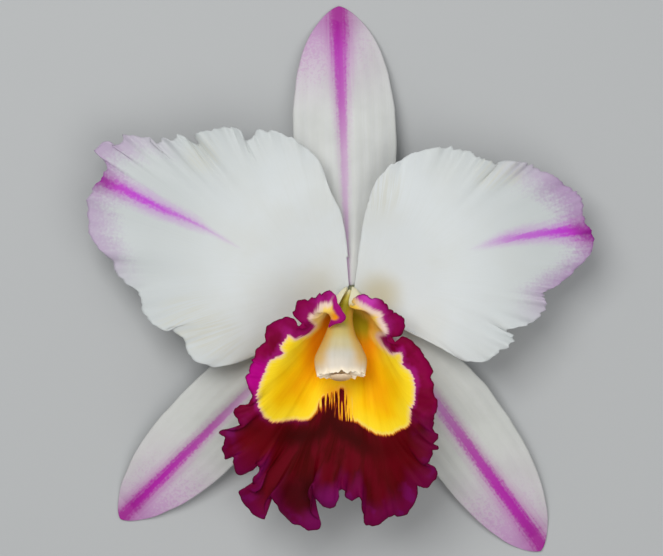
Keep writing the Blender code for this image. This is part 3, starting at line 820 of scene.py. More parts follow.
# %% Lip without its frills
def lip_core(x, t):
    """The lip evened out: its places, and the rim's heading, outward square, slit and front."""
    open_turn = 360 - 2 * LIP_FOOT_SLIT
    angle = np.radians(90 + LIP_FOOT_SLIT + open_turn * x)
    spoke = np.column_stack((np.cos(angle), np.sin(angle), 0 * angle))
    foot = spoke * LIP_FOOT_RADIUS + np.array((0, LIP_FOOT_SHIFT, LIP_LAYER))
    edge = averaged(LIP_RIM, x, even_reach(x), LIP_STEPS)
    front = np.maximum(0.0, -spoke[:, 1])
    tube = spoke * LIP_TUBE_SPREAD
    tube[:, 1] += LIP_TUBE_FORWARD[0] + LIP_TUBE_FORWARD[1] * front
    tube[:, 2] += LIP_TUBE_UPWARD[0] + LIP_TUBE_UPWARD[1] * front
    tube = unit(tube) * LIP_TUBE_REACH
    step = FRILL_REACH / 4
    along = averaged(LIP_RIM, x + step, HEADING_REACH, LIP_STEPS)
    along -= averaged(LIP_RIM, x - step, HEADING_REACH, LIP_STEPS)
    square = unit(np.column_stack((along[:, 1], -along[:, 0], 0 * angle)))
    slit = np.minimum(1.0, SLIT_SHARE + SLIT_PACE * np.minimum(x, 1 - x))
    flare = (square + np.array(LIP_FLARE_DIP)) * (LIP_FLARE_REACH * slit)[:, None]
    t = t[:, None]
    start = (1 + 2 * t) * (1 - t) ** 2
    places = foot * start + edge * (1 - start) + tube * t * (1 - t) ** 2 + flare * t * t * (t - 1)
    return places, unit(along), square, slit, front


# %% Lip with its frills
def lip_surface(x, y):
    """The surface of the lip: x round its rim and y outward from foot to rim, from 0 to 1."""
    t = (1 - (1 - y) ** LIP_ROW_CROWDING) ** LIP_ROW_EVENING
    places, tangent, square, slit, front = lip_core(x, t)
    lobes = averaged(LIP_RIM, x, FINE_REACH, FINE_STEPS)
    broad = lobes - averaged(LIP_RIM, x, even_reach(x), LIP_STEPS)
    places += broad * growing(t, LIP_FRILL_START + LIP_FRILL_DELAY * (1 - front))[:, None]
    places += (through(LIP_RIM, x) - lobes) * growing(t, FINE_START)[:, None]
    ruffle = LIP_RUFFLE * (LIP_RUFFLE_AT_BACK + (1 - LIP_RUFFLE_AT_BACK) * front)
    places[:, 2] += ruffle * t ** LIP_RUFFLE_STEEPNESS * waves(x, LIP_WAVES, 0.7)
    fold = growing(x, LOBE_FOLD_START) * (4 * t * (1 - t)) ** LOBE_FOLD_NARROWNESS
    places += LOBE_FOLD * fold[:, None] * np.array(LOBE_FOLD_HEADING)
    places[:, 2] -= RIM_CURL * growing(t, RIM_CURL_START)
    swing = 2 * math.pi * (SMALL_FRILLS * x + SMALL_FRILL_DRIFT * wander(x, 30, 5))
    frilled = SMALL_FRILL_AT_BACK + (1 - SMALL_FRILL_AT_BACK) * front
    frilled = slit * t ** SMALL_FRILL_STEEPNESS * frilled
    places[:, 2] += frilled * SMALL_FRILL_HEIGHT * np.sin(swing)
    places -= tangent * (frilled * SMALL_FRILL_SWAY * np.sin(2 * swing))[:, None]
    teeth = slit * toothed(x, LIP_TEETH) * t ** LIP_TOOTH_STEEPNESS
    places += square * teeth[:, None]
    places[:, 2] += HEART_HEIGHT
    plan = places[:, :2]
    loop = through(YELLOW_EDGE, np.linspace(0, 1, 260))
    away, _ = line_distance(plan, loop)
    yellow = np.where(inside_loop(plan, loop), away, -away)
    numbers = {"round_rim": x * 100, "yellow": yellow, "plan_x": plan[:, 0], "plan_y": plan[:, 1]}
    return places, numbers, t ** 3


# %% Make the lip
LIP_CELLS = (700, 64)
lip = grid_blade("fine_lip", LIP_CELLS, lip_surface)
thicken(lip)

# %% [markdown]
# ## Column, anther cap and pedicel
# These three are round and waxy. Each starts as a sphere primitive, whose rings are then moved
# along the piece's own axis: the poles become its two ends, so it is closed from the first.

# %% Round pieces
def round_piece(name, sides, rings, surface):
    """A sphere primitive whose rings are laid along an axis: turn in radians, ring by number."""
    bpy.ops.object.select_all(action="DESELECT")
    bpy.ops.mesh.primitive_uv_sphere_add(segments=sides, ring_count=rings, radius=1)
    piece, ball = name_piece(name)
    share = np.arccos(np.clip(ball[:, 2], -1, 1)) / math.pi
    turn = np.arctan2(ball[:, 1], ball[:, 0])
    places, along = surface(turn, np.round(share * rings), rings)
    place_points(piece, places)
    store(piece, "along", along)
    store(piece, "turn", turn)
    bpy.ops.object.mode_set(mode="EDIT")
    bpy.ops.mesh.select_all(action="SELECT")
    bpy.ops.mesh.normals_make_consistent(inside=False)
    bpy.ops.object.mode_set(mode="OBJECT")
    bpy.ops.object.shade_smooth_by_angle(angle=math.radians(50))
    print(name, "faces:", len(piece.data.polygons))
    return piece


def not_a_pole(level, rings):
    """0 at the two poles, where a piece closes on its axis, and 1 on every ring."""
    return np.where((level == 0) | (level == rings), 0.0, 1.0)


print("poles and rings of a small ball:", not_a_pole(np.arange(4), 3))

# %% [markdown]
# ## The column
# The column widens from the throat to a broad hooded end with an uneven edge over the cap.
# Each row of its path gives a centre on the axis, then the half width and the half thickness.

# %% Column
COLUMN_PATH = (
    (0.0, -1.3, 1.5, 1.3, 1.3),
    (-0.1, -1.6, 3.2, 1.4, 1.4),
    (-0.9, -4.4, 7.2, 2.1, 2.1),
    (-2.0, -8.1, 10.9, 2.9, 2.5),
    (-2.5, -12.2, 13.7, 4.2, 2.8),
    (-2.5, -15.9, 15.8, 6.0, 3.0),
    (-2.5, -18.9, 17.3, 7.1, 3.0),
    (-2.4, -22.8, 18.8, 6.5, 2.6),
)
KEEL_HEIGHT = 0.10
KEEL_WIDTH = 0.35
HOOD_DEPTH = 1.2
HEADING_STEP = 0.02
# height in mm, how many round the edge, and where they begin
HOOD_TEETH = ((0.3, 11, 0), (0.25, 19, 1), (0.12, 31, 0))
HOOD_TOOTH_STEEPNESS = 14


def column_frame(share):
    """Centre, side, back and heading of the column, and its half width and thickness."""
    row = through(COLUMN_PATH, share)
    ahead = through(COLUMN_PATH, share + HEADING_STEP) - through(COLUMN_PATH, share - HEADING_STEP)
    ahead = unit(ahead[:, :3])
    side = unit(np.array((1.0, 0, 0)) - ahead * ahead[:, :1])
    back = np.cross(ahead, side)
    centre = row[:, :3] + np.array((0, 0, HEART_HEIGHT))
    return centre, side, back, ahead, row[:, 3], row[:, 4]


def column_surface(turn, level, rings):
    """A flattened rod with a keel down its back, whose last pole is drawn in under the hood."""
    share = np.clip((level - 1) / (rings - 2), 0, 1)
    centre, side, back, ahead, half_width, half_thickness = column_frame(share)
    ring = not_a_pole(level, rings)
    keel = 1 + KEEL_HEIGHT * np.exp(-((turn - math.pi / 2) / KEEL_WIDTH) ** 2)
    places = centre + side * (ring * half_width * np.cos(turn))[:, None]
    places += back * (ring * half_thickness * keel * np.sin(turn))[:, None]
    teeth = sum(height * np.sin(count * turn + phase) for height, count, phase in HOOD_TEETH)
    places += ahead * (ring * teeth * share ** HOOD_TOOTH_STEEPNESS)[:, None]
    places -= ahead * (HOOD_DEPTH * (level == rings))[:, None]
    return places, share


column = round_piece("fine_column", 128, 80, column_surface)

# %% Anther cap
GAP = 0.3
CAP_LENGTH = 1.3
CAP_HALF_WIDTH = 3.0
CAP_HALF_HEIGHT = 1.9
CAP_FURROW = 0.12
CAP_FURROW_WIDTH = 0.12
CAP_HEADING_FROM = 0.96


def cap_surface(turn, level, rings):
    """A low dome on the end of the column, with a furrow down its middle."""
    share = np.clip((level - 1) / (rings - 1), 0, 1)
    ones = np.ones(len(turn))
    centre, side, back, _, _, _ = column_frame(ones)
    before = through(COLUMN_PATH, ones * CAP_HEADING_FROM)[:, :3]
    ahead = unit(through(COLUMN_PATH, ones)[:, :3] - before)
    swell = np.cos(share * math.pi / 2) * (level > 0)
    furrow = 1 - CAP_FURROW * np.exp(-(np.cos(turn) / CAP_FURROW_WIDTH) ** 2) * (np.sin(turn) > 0)
    places = centre + ahead * (GAP + CAP_LENGTH * np.sin(share * math.pi / 2))[:, None]
    places += side * (CAP_HALF_WIDTH * swell * np.cos(turn))[:, None]
    places += back * (CAP_HALF_HEIGHT * swell * furrow * np.sin(turn))[:, None]
    return places, share


anther_cap = round_piece("fine_anther_cap", 48, 30, cap_surface)

# %% [markdown]
# ## Ovary and pedicel
# Behind the heart the ovary bends over in an elbow and runs down to the cut end of the
# pedicel. It has six low ribs, which fade out towards the cut. The thinner end sinks with its
# radius, so that it lies on the table all the way.

# %% Ovary and pedicel
PEDICEL_RADIUS = 2.6
PEDICEL_TAPER = (0.35, 0.4)
PEDICEL_ROW_CROWDING = 1.25
OVARY_TOP = -1.1
OVARY_RADIUS = 3.5
RECEPTACLE_RADIUS = 4.9
RECEPTACLE_SHARE = 0.02
ELBOW_RADIUS = 8.4
OVARY_RIBS = 6
OVARY_RIB_DEPTH = 0.35
OVARY_RIB_END = 0.8


def pedicel_surface(turn, level, rings):
    """A ribbed rod that flares at the heart, turns in an elbow and runs out along the table."""
    share = np.clip((level - 1) / (rings - 2), 0, 1) ** PEDICEL_ROW_CROWDING
    top = HEART_HEIGHT + OVARY_TOP
    quarter = 0.5 * math.pi * ELBOW_RADIUS
    run = share * (quarter + PEDICEL_REACH - ELBOW_RADIUS)
    bend = np.minimum(run / ELBOW_RADIUS, math.pi / 2)
    straight = np.maximum(run - quarter, 0.0)
    centre = np.column_stack((
        0 * run,
        -ELBOW_RADIUS * (1 - np.cos(bend)) - straight,
        top - (top - OVARY_RADIUS) * np.sin(bend),
    ))
    heading = np.column_stack((0 * run, -np.sin(bend), -np.cos(bend)))
    flare = (RECEPTACLE_RADIUS - OVARY_RADIUS) * np.exp(-share / RECEPTACLE_SHARE)
    taper = eased((share - PEDICEL_TAPER[0]) / PEDICEL_TAPER[1])
    radius = OVARY_RADIUS + flare - (OVARY_RADIUS - PEDICEL_RADIUS) * taper
    centre[:, 2] -= np.maximum(0.0, OVARY_RADIUS - radius) * (share > PEDICEL_TAPER[0])
    side = np.tile((1.0, 0, 0), (len(share), 1))
    back = np.cross(heading, side)
    ribs = OVARY_RIB_DEPTH * np.sin(math.pi * np.minimum(1.0, share / OVARY_RIB_END))
    rib = (radius + ribs * np.cos(OVARY_RIBS * turn)) * not_a_pole(level, rings)
    places = centre + side * (rib * np.cos(turn))[:, None] + back * (rib * np.sin(turn))[:, None]
    places[:, 2] = np.maximum(places[:, 2], 0.0)
    return places, share


pedicel = round_piece("fine_pedicel", 72, 90, pedicel_surface)

# %% [markdown]
# ## The finish of a sepal
# White tissue is never plain white: it has a faint grey-green cast, fine veins that run from
# claw to tip, and light that enters it and comes out again. The stripe is broad and strong at
# the tip and fades towards the heart. Its colour has bled a little, so a pale halo with
# feathered sides lies round a strong core, and lilac specks gather near it.

# %% Sepal colours
DORSAL_WHITE = (0.62, 0.63, 0.61)
LATERAL_WHITE = (0.60, 0.61, 0.58)
SEPAL_CLOUD = 0.91
SEPAL_VEIN = (0.58, 0.59, 0.54)
SEPAL_FLUSH = (0.50, 0.14, 0.50)
SEPAL_SPECK = (0.46, 0.10, 0.45)
SEPAL_DUSK = (0.38, 0.16, 0.36)
DORSAL_INK = (0.46, 0.03, 0.43)
LATERAL_INK = (0.44, 0.01, 0.37)
SEPAL_TIP_INK = (0.33, 0.004, 0.25)
SEPAL_PALE_INK = (0.50, 0.12, 0.50)
print("white of the dorsal sepal:", DORSAL_WHITE)

# %% Sepal stripes
DORSAL_PEAK = ((0, 0.45), (0.33, 0.45), (0.47, 0.50), (0.64, 0.83), (0.80, 0.95), (0.87, 1.0))
DORSAL_REACH = (
    (0, 1.1), (0.18, 1.3), (0.33, 2.0), (0.47, 2.4), (0.64, 3.3), (0.80, 4.4), (0.93, 5.6),
)
LEFT_SEPAL_PEAK = ((0, 0.1), (0.30, 0.3), (0.45, 0.55), (0.58, 0.85), (0.70, 0.95), (0.80, 1.0))
LEFT_SEPAL_REACH = ((0, 2.0), (0.45, 2.4), (0.58, 2.7), (0.70, 3.3), (0.85, 3.6), (1.0, 4.2))
RIGHT_SEPAL_PEAK = ((0, 0.1), (0.25, 0.5), (0.45, 0.8), (0.60, 0.92), (0.75, 1.0))
RIGHT_SEPAL_REACH = ((0, 2.2), (0.45, 3.2), (0.60, 3.6), (0.80, 4.2), (1.0, 5.0))
# finish, white, ink, stripe's strength and reach, side of the specks, shift of the stripe in mm
SEPAL_MARKS = {
    "dorsal_sepal": (
        "dorsal_sepal_white", DORSAL_WHITE, DORSAL_INK, DORSAL_PEAK, DORSAL_REACH, 1.0, 0.2),
    "lateral_sepal_left": (
        "left_sepal_white", LATERAL_WHITE, LATERAL_INK, LEFT_SEPAL_PEAK, LEFT_SEPAL_REACH, 1.0, 0.0),
    "lateral_sepal_right": (
        "right_sepal_white", LATERAL_WHITE, LATERAL_INK, RIGHT_SEPAL_PEAK, RIGHT_SEPAL_REACH, -1.0, 1.0),
}
print("the dorsal stripe reaches", DORSAL_REACH[-1][1], "mm each way at the tip")

# %% Sepal finish
def sepal_finish(name, white, ink, strength, stripe_reach, speck_side, shift):
    """White with a feathered stripe: its strength and reach in mm along the sepal, heart to tip."""
    coat = Finish(name)
    along = coat.number("along")
    side = coat.number("side")
    veins = coat.streaks((side, 1.5), (along, 3.0), 4.0)
    cloud = coat.noise(coat.place, 90.0, 3.0)
    grain = coat.noise(coat.place, 1400.0, 2.0)
    colour = coat.glaze(white, tuple(part * SEPAL_CLOUD for part in white), coat.fade(cloud, 0.35, 0.7))
    colour = coat.glaze(colour, SEPAL_VEIN, coat.fade(veins, 0.42, 0.62), 0.25)
    sided = coat.fade(coat.times(coat.number("across"), speck_side), -1.7, 0.8)
    flush = coat.times(coat.fade(along, 0.58, 1.02), sided)
    dotted = coat.fade(coat.calc("MULTIPLY_ADD", flush, 0.22, grain), 0.56, 0.70)
    specks = coat.times(dotted, coat.fade(flush, 0.0, 0.45))
    colour = coat.glaze(colour, SEPAL_FLUSH, flush, 0.6)
    colour = coat.glaze(colour, SEPAL_SPECK, specks, 0.22)
    colour = coat.glaze(colour, SEPAL_DUSK, coat.fade(along, 0.86, 1.02), 0.7)
    off = coat.calc("DIVIDE", coat.beside(side, shift), coat.graph(along, stripe_reach))
    off = coat.ragged(coat.ragged(off, veins, 0.6), grain, 0.5)
    stripe = coat.feathered(off, halo=(1.2, 0.2), core=(0.85, 0.15))
    ink = coat.glaze(ink, SEPAL_TIP_INK, coat.fade(along, 0.80, 1.0))
    ink = coat.glaze(ink, SEPAL_PALE_INK, coat.fade(along, 0.60, 0.35))
    colour = coat.glaze(colour, ink, stripe, coat.graph(along, strength))
    coat.relief(coat.calc("ADD", veins, coat.times(grain, 0.3)), 0.03)
    return coat.settle(colour, 0.5, glow=0.25, sheen=0.05)


for node, marks in SEPAL_MARKS.items():
    dress(sepals[node], node, sepal_finish(*marks))

# %% [markdown]
# ## The finish of a petal
# A petal is cooler and brighter than a sepal, brightest near the heart, and its veins fan out
# from the claw. The stripe is a wedge: widest at the tip, gone before the middle. A grainy
# lilac flush lies round the tip, the pleats of the rim carry a painted warm shade, and the claw
# has a warm tint. Each tint and each patch of painted shade is a soft round patch at its own
# place, because it belongs to the spot and not to the whole petal.

# %% Petal colours
PETAL_WHITE = (0.66, 0.69, 0.69)
PETAL_CLOUD = (0.64, 0.66, 0.64)
PETAL_OUTER_WHITE = (0.54, 0.57, 0.565)
PETAL_BRIGHT_PLACE = (0.0, 2.0, 16.0)
PETAL_VEIN = (0.58, 0.60, 0.56)
PETAL_CLAW_TINT = (0.50, 0.42, 0.20)
# painted warm shade for the folds of the pleats
PETAL_PLEAT_SHADE = (0.55, 0.52, 0.38)
PETAL_FLUSH = (0.38, 0.20, 0.42)
PETAL_INK = (0.48, 0.03, 0.56)
PETAL_TIP_INK = (0.44, 0.01, 0.44)
PETAL_RIM_INK = (0.28, 0.005, 0.26)
print("white of the petals:", PETAL_WHITE)

# %% Petal stripes and tints
LEFT_PEAK = ((0, 0.0), (0.10, 0.25), (0.33, 0.7), (0.50, 0.9), (0.67, 1.0))
LEFT_REACH = (
    (0, 0.5), (0.17, 1.2), (0.33, 2.2), (0.50, 2.9), (0.67, 3.4), (0.83, 3.8), (1.0, 5.0),
)
RIGHT_PEAK = ((0, 0.0), (0.14, 0.14), (0.29, 0.55), (0.43, 0.80), (0.57, 0.86), (0.71, 1.0))
RIGHT_REACH = (
    (0, 0.6), (0.14, 1.3), (0.29, 2.3), (0.43, 2.8), (0.57, 3.2), (0.71, 3.8), (0.86, 5.2), (1.0, 7.6),
)
# flushes: place in mm from the heart, reach and thickness
LEFT_FLUSH = ((-73.0, 26.0, 18.0), 32.0, 0.6)
RIGHT_FLUSH = ((68.0, 16.0, 18.0), 36.0, 0.75)
# claw tints: place and thickness
LEFT_CLAW_TINT = ((-9.0, 1.0, 14.0), 0.2)
RIGHT_CLAW_TINT = ((8.3, -1.5, 14.0), 0.6)
# painted warm shade in the pleats: place and reach
LEFT_PLEAT_SHADE = (((-44.0, -9.0, 19.0), 11.0), ((-36.0, -13.0, 19.0), 9.0), ((-40.5, 37.0, 19.0), 7.0))
RIGHT_PLEAT_SHADE = (((38.0, 32.0, 19.0), 6.0), ((45.0, 32.0, 19.0), 5.0), ((9.0, 27.0, 19.0), 8.0))
PETAL_MARKS = {
    "petal_left": (
        "left_petal_white", LEFT_PEAK, LEFT_REACH, LEFT_FLUSH, LEFT_CLAW_TINT, LEFT_PLEAT_SHADE),
    "petal_right": (
        "right_petal_white", RIGHT_PEAK, RIGHT_REACH, RIGHT_FLUSH, RIGHT_CLAW_TINT, RIGHT_PLEAT_SHADE),
}
print("the right stripe reaches", RIGHT_REACH[-1][1], "mm each way at the tip")

# %% Petal finish
def petal_white(coat, veins, claw_tint, pleat_shade):
    """The ground of a petal: cool white, greyer outwards, with veins, a warm claw tint and painted warm
    shade in the pleats.
    """
    cloud = coat.noise(coat.place, 70.0, 3.0)
    white = coat.glaze(PETAL_WHITE, PETAL_CLOUD, coat.fade(cloud, 0.35, 0.7))
    outer = coat.fade(coat.distance(PETAL_BRIGHT_PLACE), 26.0, 58.0)
    white = coat.glaze(white, PETAL_OUTER_WHITE, outer)
    white = coat.glaze(white, PETAL_VEIN, coat.fade(veins, 0.45, 0.65), 0.14)
    claw, share = claw_tint
    white = coat.glaze(white, PETAL_CLAW_TINT, coat.fade(coat.distance(claw), 9.0, 1.0), share)
    # painted warm shade: streaks along the veins darken the pleats near each place
    pleat_shading = coat.times(coat.fade(veins, 0.38, 0.64), 0.35)
    for place, span in pleat_shade:
        near = coat.fade(coat.distance(place), span, 0.3 * span)
        white = coat.glaze(white, PETAL_PLEAT_SHADE, near, pleat_shading)
    return white, cloud


def petal_finish(name, strength, stripe_reach, flush_tint, claw_tint, pleat_shade):
    """White with a wedge of magenta, a flush round the tip and a tint beside the claw."""
    coat = Finish(name)
    fan = coat.number("round_rim")
    reach = coat.number("reach")
    rim = coat.number("rim")
    run = coat.number("stripe_run")
    veins = coat.streaks((fan, 2.4), (reach, 0.05), 5.0, 0.6)
    feathers = coat.streaks((fan, 0.7), (reach, 0.03), 3.0)
    grain = coat.noise(coat.place, 1300.0, 2.0)
    colour, cloud = petal_white(coat, veins, claw_tint, pleat_shade)
    tip, span, share = flush_tint
    from_rim = coat.ragged(coat.ragged(coat.ragged(rim, veins, 6.0), grain, 9.0), cloud, 10.0)
    near_tip = coat.fade(coat.distance(tip), span, 0.4 * span)
    flush = coat.times(near_tip, coat.fade(from_rim, 11.0, 0.0))
    colour = coat.glaze(colour, PETAL_FLUSH, flush, share)
    off = coat.calc("DIVIDE", coat.number("stripe"), coat.graph(run, stripe_reach))
    off = coat.ragged(coat.ragged(off, feathers, 0.8), grain, 0.4)
    stripe = coat.feathered(off, halo=(1.25, 0.2), core=(0.75, 0.05))
    ink = coat.glaze(PETAL_INK, PETAL_TIP_INK, coat.fade(run, 0.65, 0.95))
    ink = coat.glaze(ink, PETAL_RIM_INK, coat.fade(rim, 6.0, 1.0))
    colour = coat.glaze(colour, ink, stripe, coat.graph(run, strength))
    coat.relief(coat.calc("ADD", veins, coat.times(grain, 0.25)), 0.025)
    return coat.settle(colour, 0.48, glow=0.3, sheen=0.05)


for node, marks in PETAL_MARKS.items():
    dress(petals[node], node, petal_finish(*marks))

# %% [markdown]
# ## The finish of the lip
# The lip is velvet: deep crimson in front, magenta round the sides, and a yellow throat that
# turns amber where it goes down beside the column. That amber and the olive deep at its heart
# are partly painted shade, and the darker amber in its creases is painted shade. A thin cream
# line parts yellow from magenta, and short crimson flames reach up into the yellow from the
# front. No two lobes have quite the same red, so blotches of darker and brighter colour are
# laid where they belong. One cream patch in the yellow is painted light: it is brighter than
# the tissue and lifts the shade on the left lobe's inner face.

# %% Lip colours
MAGENTA = (0.17, 0.0, 0.022)
BRIGHT_MAGENTA = (0.24, 0.0, 0.05)
UPPER_MAGENTA = (0.26, 0.0, 0.09)
PINK_BORDER = (0.48, 0.02, 0.32)
CRIMSON = (0.085, 0.0, 0.002)
CRIMSON_VEIN = (0.062, 0.0, 0.0)
CRIMSON_BLOTCH = (0.12, 0.0, 0.006)
CRIMSON_SHADE = (0.045, 0.0, 0.0)
FRINGE_RED = (0.15, 0.001, 0.045)
FRINGE_PURPLE = (0.17, 0.004, 0.10)
RIM_SHADE = (0.07, 0.0, 0.014)
TURNED_PINK = (0.36, 0.006, 0.17)
GOLD_EDGE = (0.97, 0.70, 0.02)
GOLD = (0.96, 0.58, 0.003)
DEEP_GOLD = (0.92, 0.42, 0.002)
GOLD_VEIN = (0.72, 0.28, 0.001)
# painted shade: darker amber for the creases of the throat
CREASE_SHADE_AMBER = (0.84, 0.31, 0.001)
# partly the wall's own amber, partly painted shade of the steep inner wall
WALL_AMBER_AND_SHADE = (0.92, 0.28, 0.003)
# partly the throat's own olive, partly painted shade deep in the tube beside the column
THROAT_OLIVE_AND_SHADE = (0.40, 0.32, 0.01)
FLAME_AMBER = (0.84, 0.34, 0.002)
FRONT_BLUSH = (0.55, 0.12, 0.003)
# partly the sleeve's own cream, partly painted light brighter than the tissue
SLEEVE_CREAM_AND_PAINTED_LIGHT = (0.95, 0.88, 0.60)
print("crimson in front:", CRIMSON, "gold in the throat:", GOLD)

# %% Lip blotches
# where each blotch lies in mm from the heart, how far it reaches, and its colour
GROUND_BLOTCHES = (
    ((-25.5, -22.8, 33.0), 7.0, (0.52, 0.0, 0.27)),
    ((-24.5, -41.5, 32.0), 11.0, (0.14, 0.0, 0.004)),
    ((13.0, -45.0, 32.0), 14.0, (0.11, 0.0, 0.003)),
    ((-14.0, -56.0, 28.0), 9.0, (0.035, 0.0, 0.001)),
    ((-12.5, -41.0, 32.0), 9.0, (0.04, 0.0, 0.001)),
    ((-13.5, -6.5, 32.0), 9.0, (0.23, 0.0, 0.06)),
    ((4.5, -2.6, 30.0), 4.5, (0.62, 0.06, 0.48)),
    ((-5.1, -57.2, 28.0), 6.0, (0.19, 0.005, 0.11)),
    ((-10.2, -62.9, 25.0), 5.0, (0.16, 0.003, 0.08)),
)
# gold blotches; the first one is painted light
GOLD_BLOTCHES_AND_PAINTED_LIGHT = (
    # painted light: a cream brighter than the tissue lifts the shade on the left lobe's inner face
    ((-6.7, -6.3, 28.0), 6.0, (1.0, 0.80, 0.30)),
    ((3.2, -11.9, 27.0), 6.0, (0.80, 0.20, 0.001)),
    ((0.0, -3.4, 28.0), 4.0, (0.80, 0.50, 0.02)),
    ((-10.7, -26.6, 33.0), 7.0, (0.82, 0.38, 0.002)),
    ((-0.1, -25.5, 33.0), 6.0, (0.94, 0.32, 0.001)),
)


def blotched(coat, colour, blotches, patch):
    """Blotches of other colours, each with a ragged soft edge."""
    for place, span, tint in blotches:
        near = coat.fade(coat.ragged(coat.distance(place), patch, 5.0), span, span * 0.2)
        colour = coat.glaze(colour, tint, near, 0.75)
    return colour


print("blotches on the lip:", len(GROUND_BLOTCHES) + len(GOLD_BLOTCHES_AND_PAINTED_LIGHT))

# %% Magenta and crimson of the lip
def lip_magenta(coat, patch):
    """The ground round the sides: magenta, pinker at the top and beside the yellow."""
    top = coat.fade(coat.number("plan_y"), -15.0, -6.0)
    magenta = coat.glaze(MAGENTA, BRIGHT_MAGENTA, coat.fade(patch, 0.38, 0.62))
    magenta = coat.glaze(magenta, UPPER_MAGENTA, top, 0.5)
    inner = coat.ragged(coat.number("yellow"), patch, 5.0)
    border = coat.fade(inner, coat.calc("MULTIPLY_ADD", top, -2.2, -1.8), -0.3)
    return coat.glaze(magenta, PINK_BORDER, border, coat.calc("MULTIPLY_ADD", top, 0.2, 0.35))


def lip_crimson(coat, veins, blotches, patch):
    """The ground in front: crimson, darkest beside the yellow and redder in the fringe."""
    crimson = coat.glaze(CRIMSON, CRIMSON_VEIN, coat.fade(veins, 0.38, 0.66))
    crimson = coat.glaze(crimson, CRIMSON_BLOTCH, coat.fade(blotches, 0.45, 0.62))
    shade = coat.fade(coat.beside(coat.number("yellow"), -4.0), 4.0, 0.0)
    crimson = coat.glaze(crimson, CRIMSON_SHADE, shade)
    fringe = coat.fade(coat.ragged(coat.number("rim"), blotches, 14.0), 9.0, 0.5)
    crimson = coat.glaze(crimson, FRINGE_RED, fringe)
    purple = coat.times(fringe, coat.fade(patch, 0.52, 0.66))
    return coat.glaze(crimson, FRINGE_PURPLE, purple, 0.7)


def lip_grounds(coat, veins, blotches, patch):
    """Both grounds, and the mask that says where the front is."""
    plan_y = coat.number("plan_y")
    middle = coat.fade(coat.beside(coat.number("plan_x"), -3.5), 12.0, 7.0)
    middle = coat.times(middle, coat.fade(plan_y, -24.0, -27.0))
    front = coat.calc("MAXIMUM", coat.fade(plan_y, -30.0, -38.0), middle)
    ground = coat.glaze(lip_magenta(coat, patch), lip_crimson(coat, veins, blotches, patch), front)
    ground = blotched(coat, ground, GROUND_BLOTCHES, patch)
    return coat.glaze(ground, RIM_SHADE, coat.fade(coat.number("rim"), 0.7, 0.1), 0.65), front


# %% Yellow of the lip
# painted shade: place and reach of the darker amber in the two creases, where the wall turns out into
# the lobes
CREASE_SHADES = (((-13.5, -30.5, 33.0), 7.0), ((6.5, -27.5, 33.0), 8.0))


def lip_gold(coat, veins, blotches):
    """The yellow throat: bright near its edge, painted amber shade in its creases, and amber down its
    inner wall and olive at the heart, both partly painted shade.
    """
    yellow = coat.number("yellow")
    plan_x = coat.number("plan_x")
    plan_y = coat.number("plan_y")
    gold = coat.glaze(GOLD_EDGE, GOLD, coat.fade(yellow, 1.0, 5.5))
    gold = coat.glaze(gold, DEEP_GOLD, coat.fade(coat.ragged(yellow, blotches, 6.0), 3.5, 9.0))
    gold = coat.glaze(gold, GOLD_VEIN, coat.fade(veins, 0.45, 0.65), 0.12)
    left, right = [coat.fade(coat.distance(place), span, 1.0) for place, span in CREASE_SHADES]
    gold = coat.glaze(gold, CREASE_SHADE_AMBER, coat.calc("MAXIMUM", left, right), 0.7)
    # partly painted shade: the inner wall of the tube turns darker amber
    wall = coat.times(coat.fade(plan_y, -27.0, -14.0), coat.fade(coat.beside(plan_x, -2.0), 12.5, 7.5))
    gold = coat.glaze(gold, WALL_AMBER_AND_SHADE, wall, 0.9)
    # partly painted shade: olive darkens the deep throat beside the column, away from the rim
    throat = coat.times(coat.fade(plan_y, -17.0, -10.0), coat.fade(coat.beside(plan_x, 2.0), 5.0, 2.6))
    return coat.glaze(gold, THROAT_OLIVE_AND_SHADE, throat, coat.fade(coat.number("outward"), 0.62, 0.5))


print("the creases of the yellow lie at", [place[:2] for place, _ in CREASE_SHADES])

# %% [markdown]
# ## Where yellow meets red
# The border is the drawn edge of the yellow, roughened by the veins. In front, a comb of
# streaks pushes it inwards into flames. Cream lies along its sides and a thin blush on the
# border itself, and both are wider at the top, where the lobes turn over.

# %% Lip finish
UPPER_CREAM = (0.92, 0.62, 0.10)
LOWER_CREAM = (0.92, 0.68, 0.12)
UPPER_BLUSH = (0.80, 0.60, 0.50)
LOWER_BLUSH = (0.84, 0.52, 0.42)
FLAME_REACH = 5.5


def lip_border(coat, veins, top, centre):
    """The ragged border of the yellow with its flames, and how softly it ends."""
    plan_x = coat.number("plan_x")
    plan_y = coat.number("plan_y")
    low = coat.times(coat.fade(plan_y, -26.5, -30.5), coat.fade(plan_y, -37.0, -34.5))
    flaming = coat.times(centre, low)
    comb = coat.fade(coat.streaks((plan_x, 1.6), (plan_y, 0.09), 2.0), 0.42, 0.62)
    comb = coat.times(coat.calc("SUBTRACT", comb, 0.4), flaming)
    border = coat.ragged(coat.number("yellow"), veins, 1.9)
    border = coat.calc("MULTIPLY_ADD", comb, -FLAME_REACH, border)
    soft = coat.calc("MULTIPLY_ADD", flaming, -0.9, -0.2)
    return border, coat.calc("MULTIPLY_ADD", top, -1.0, soft)


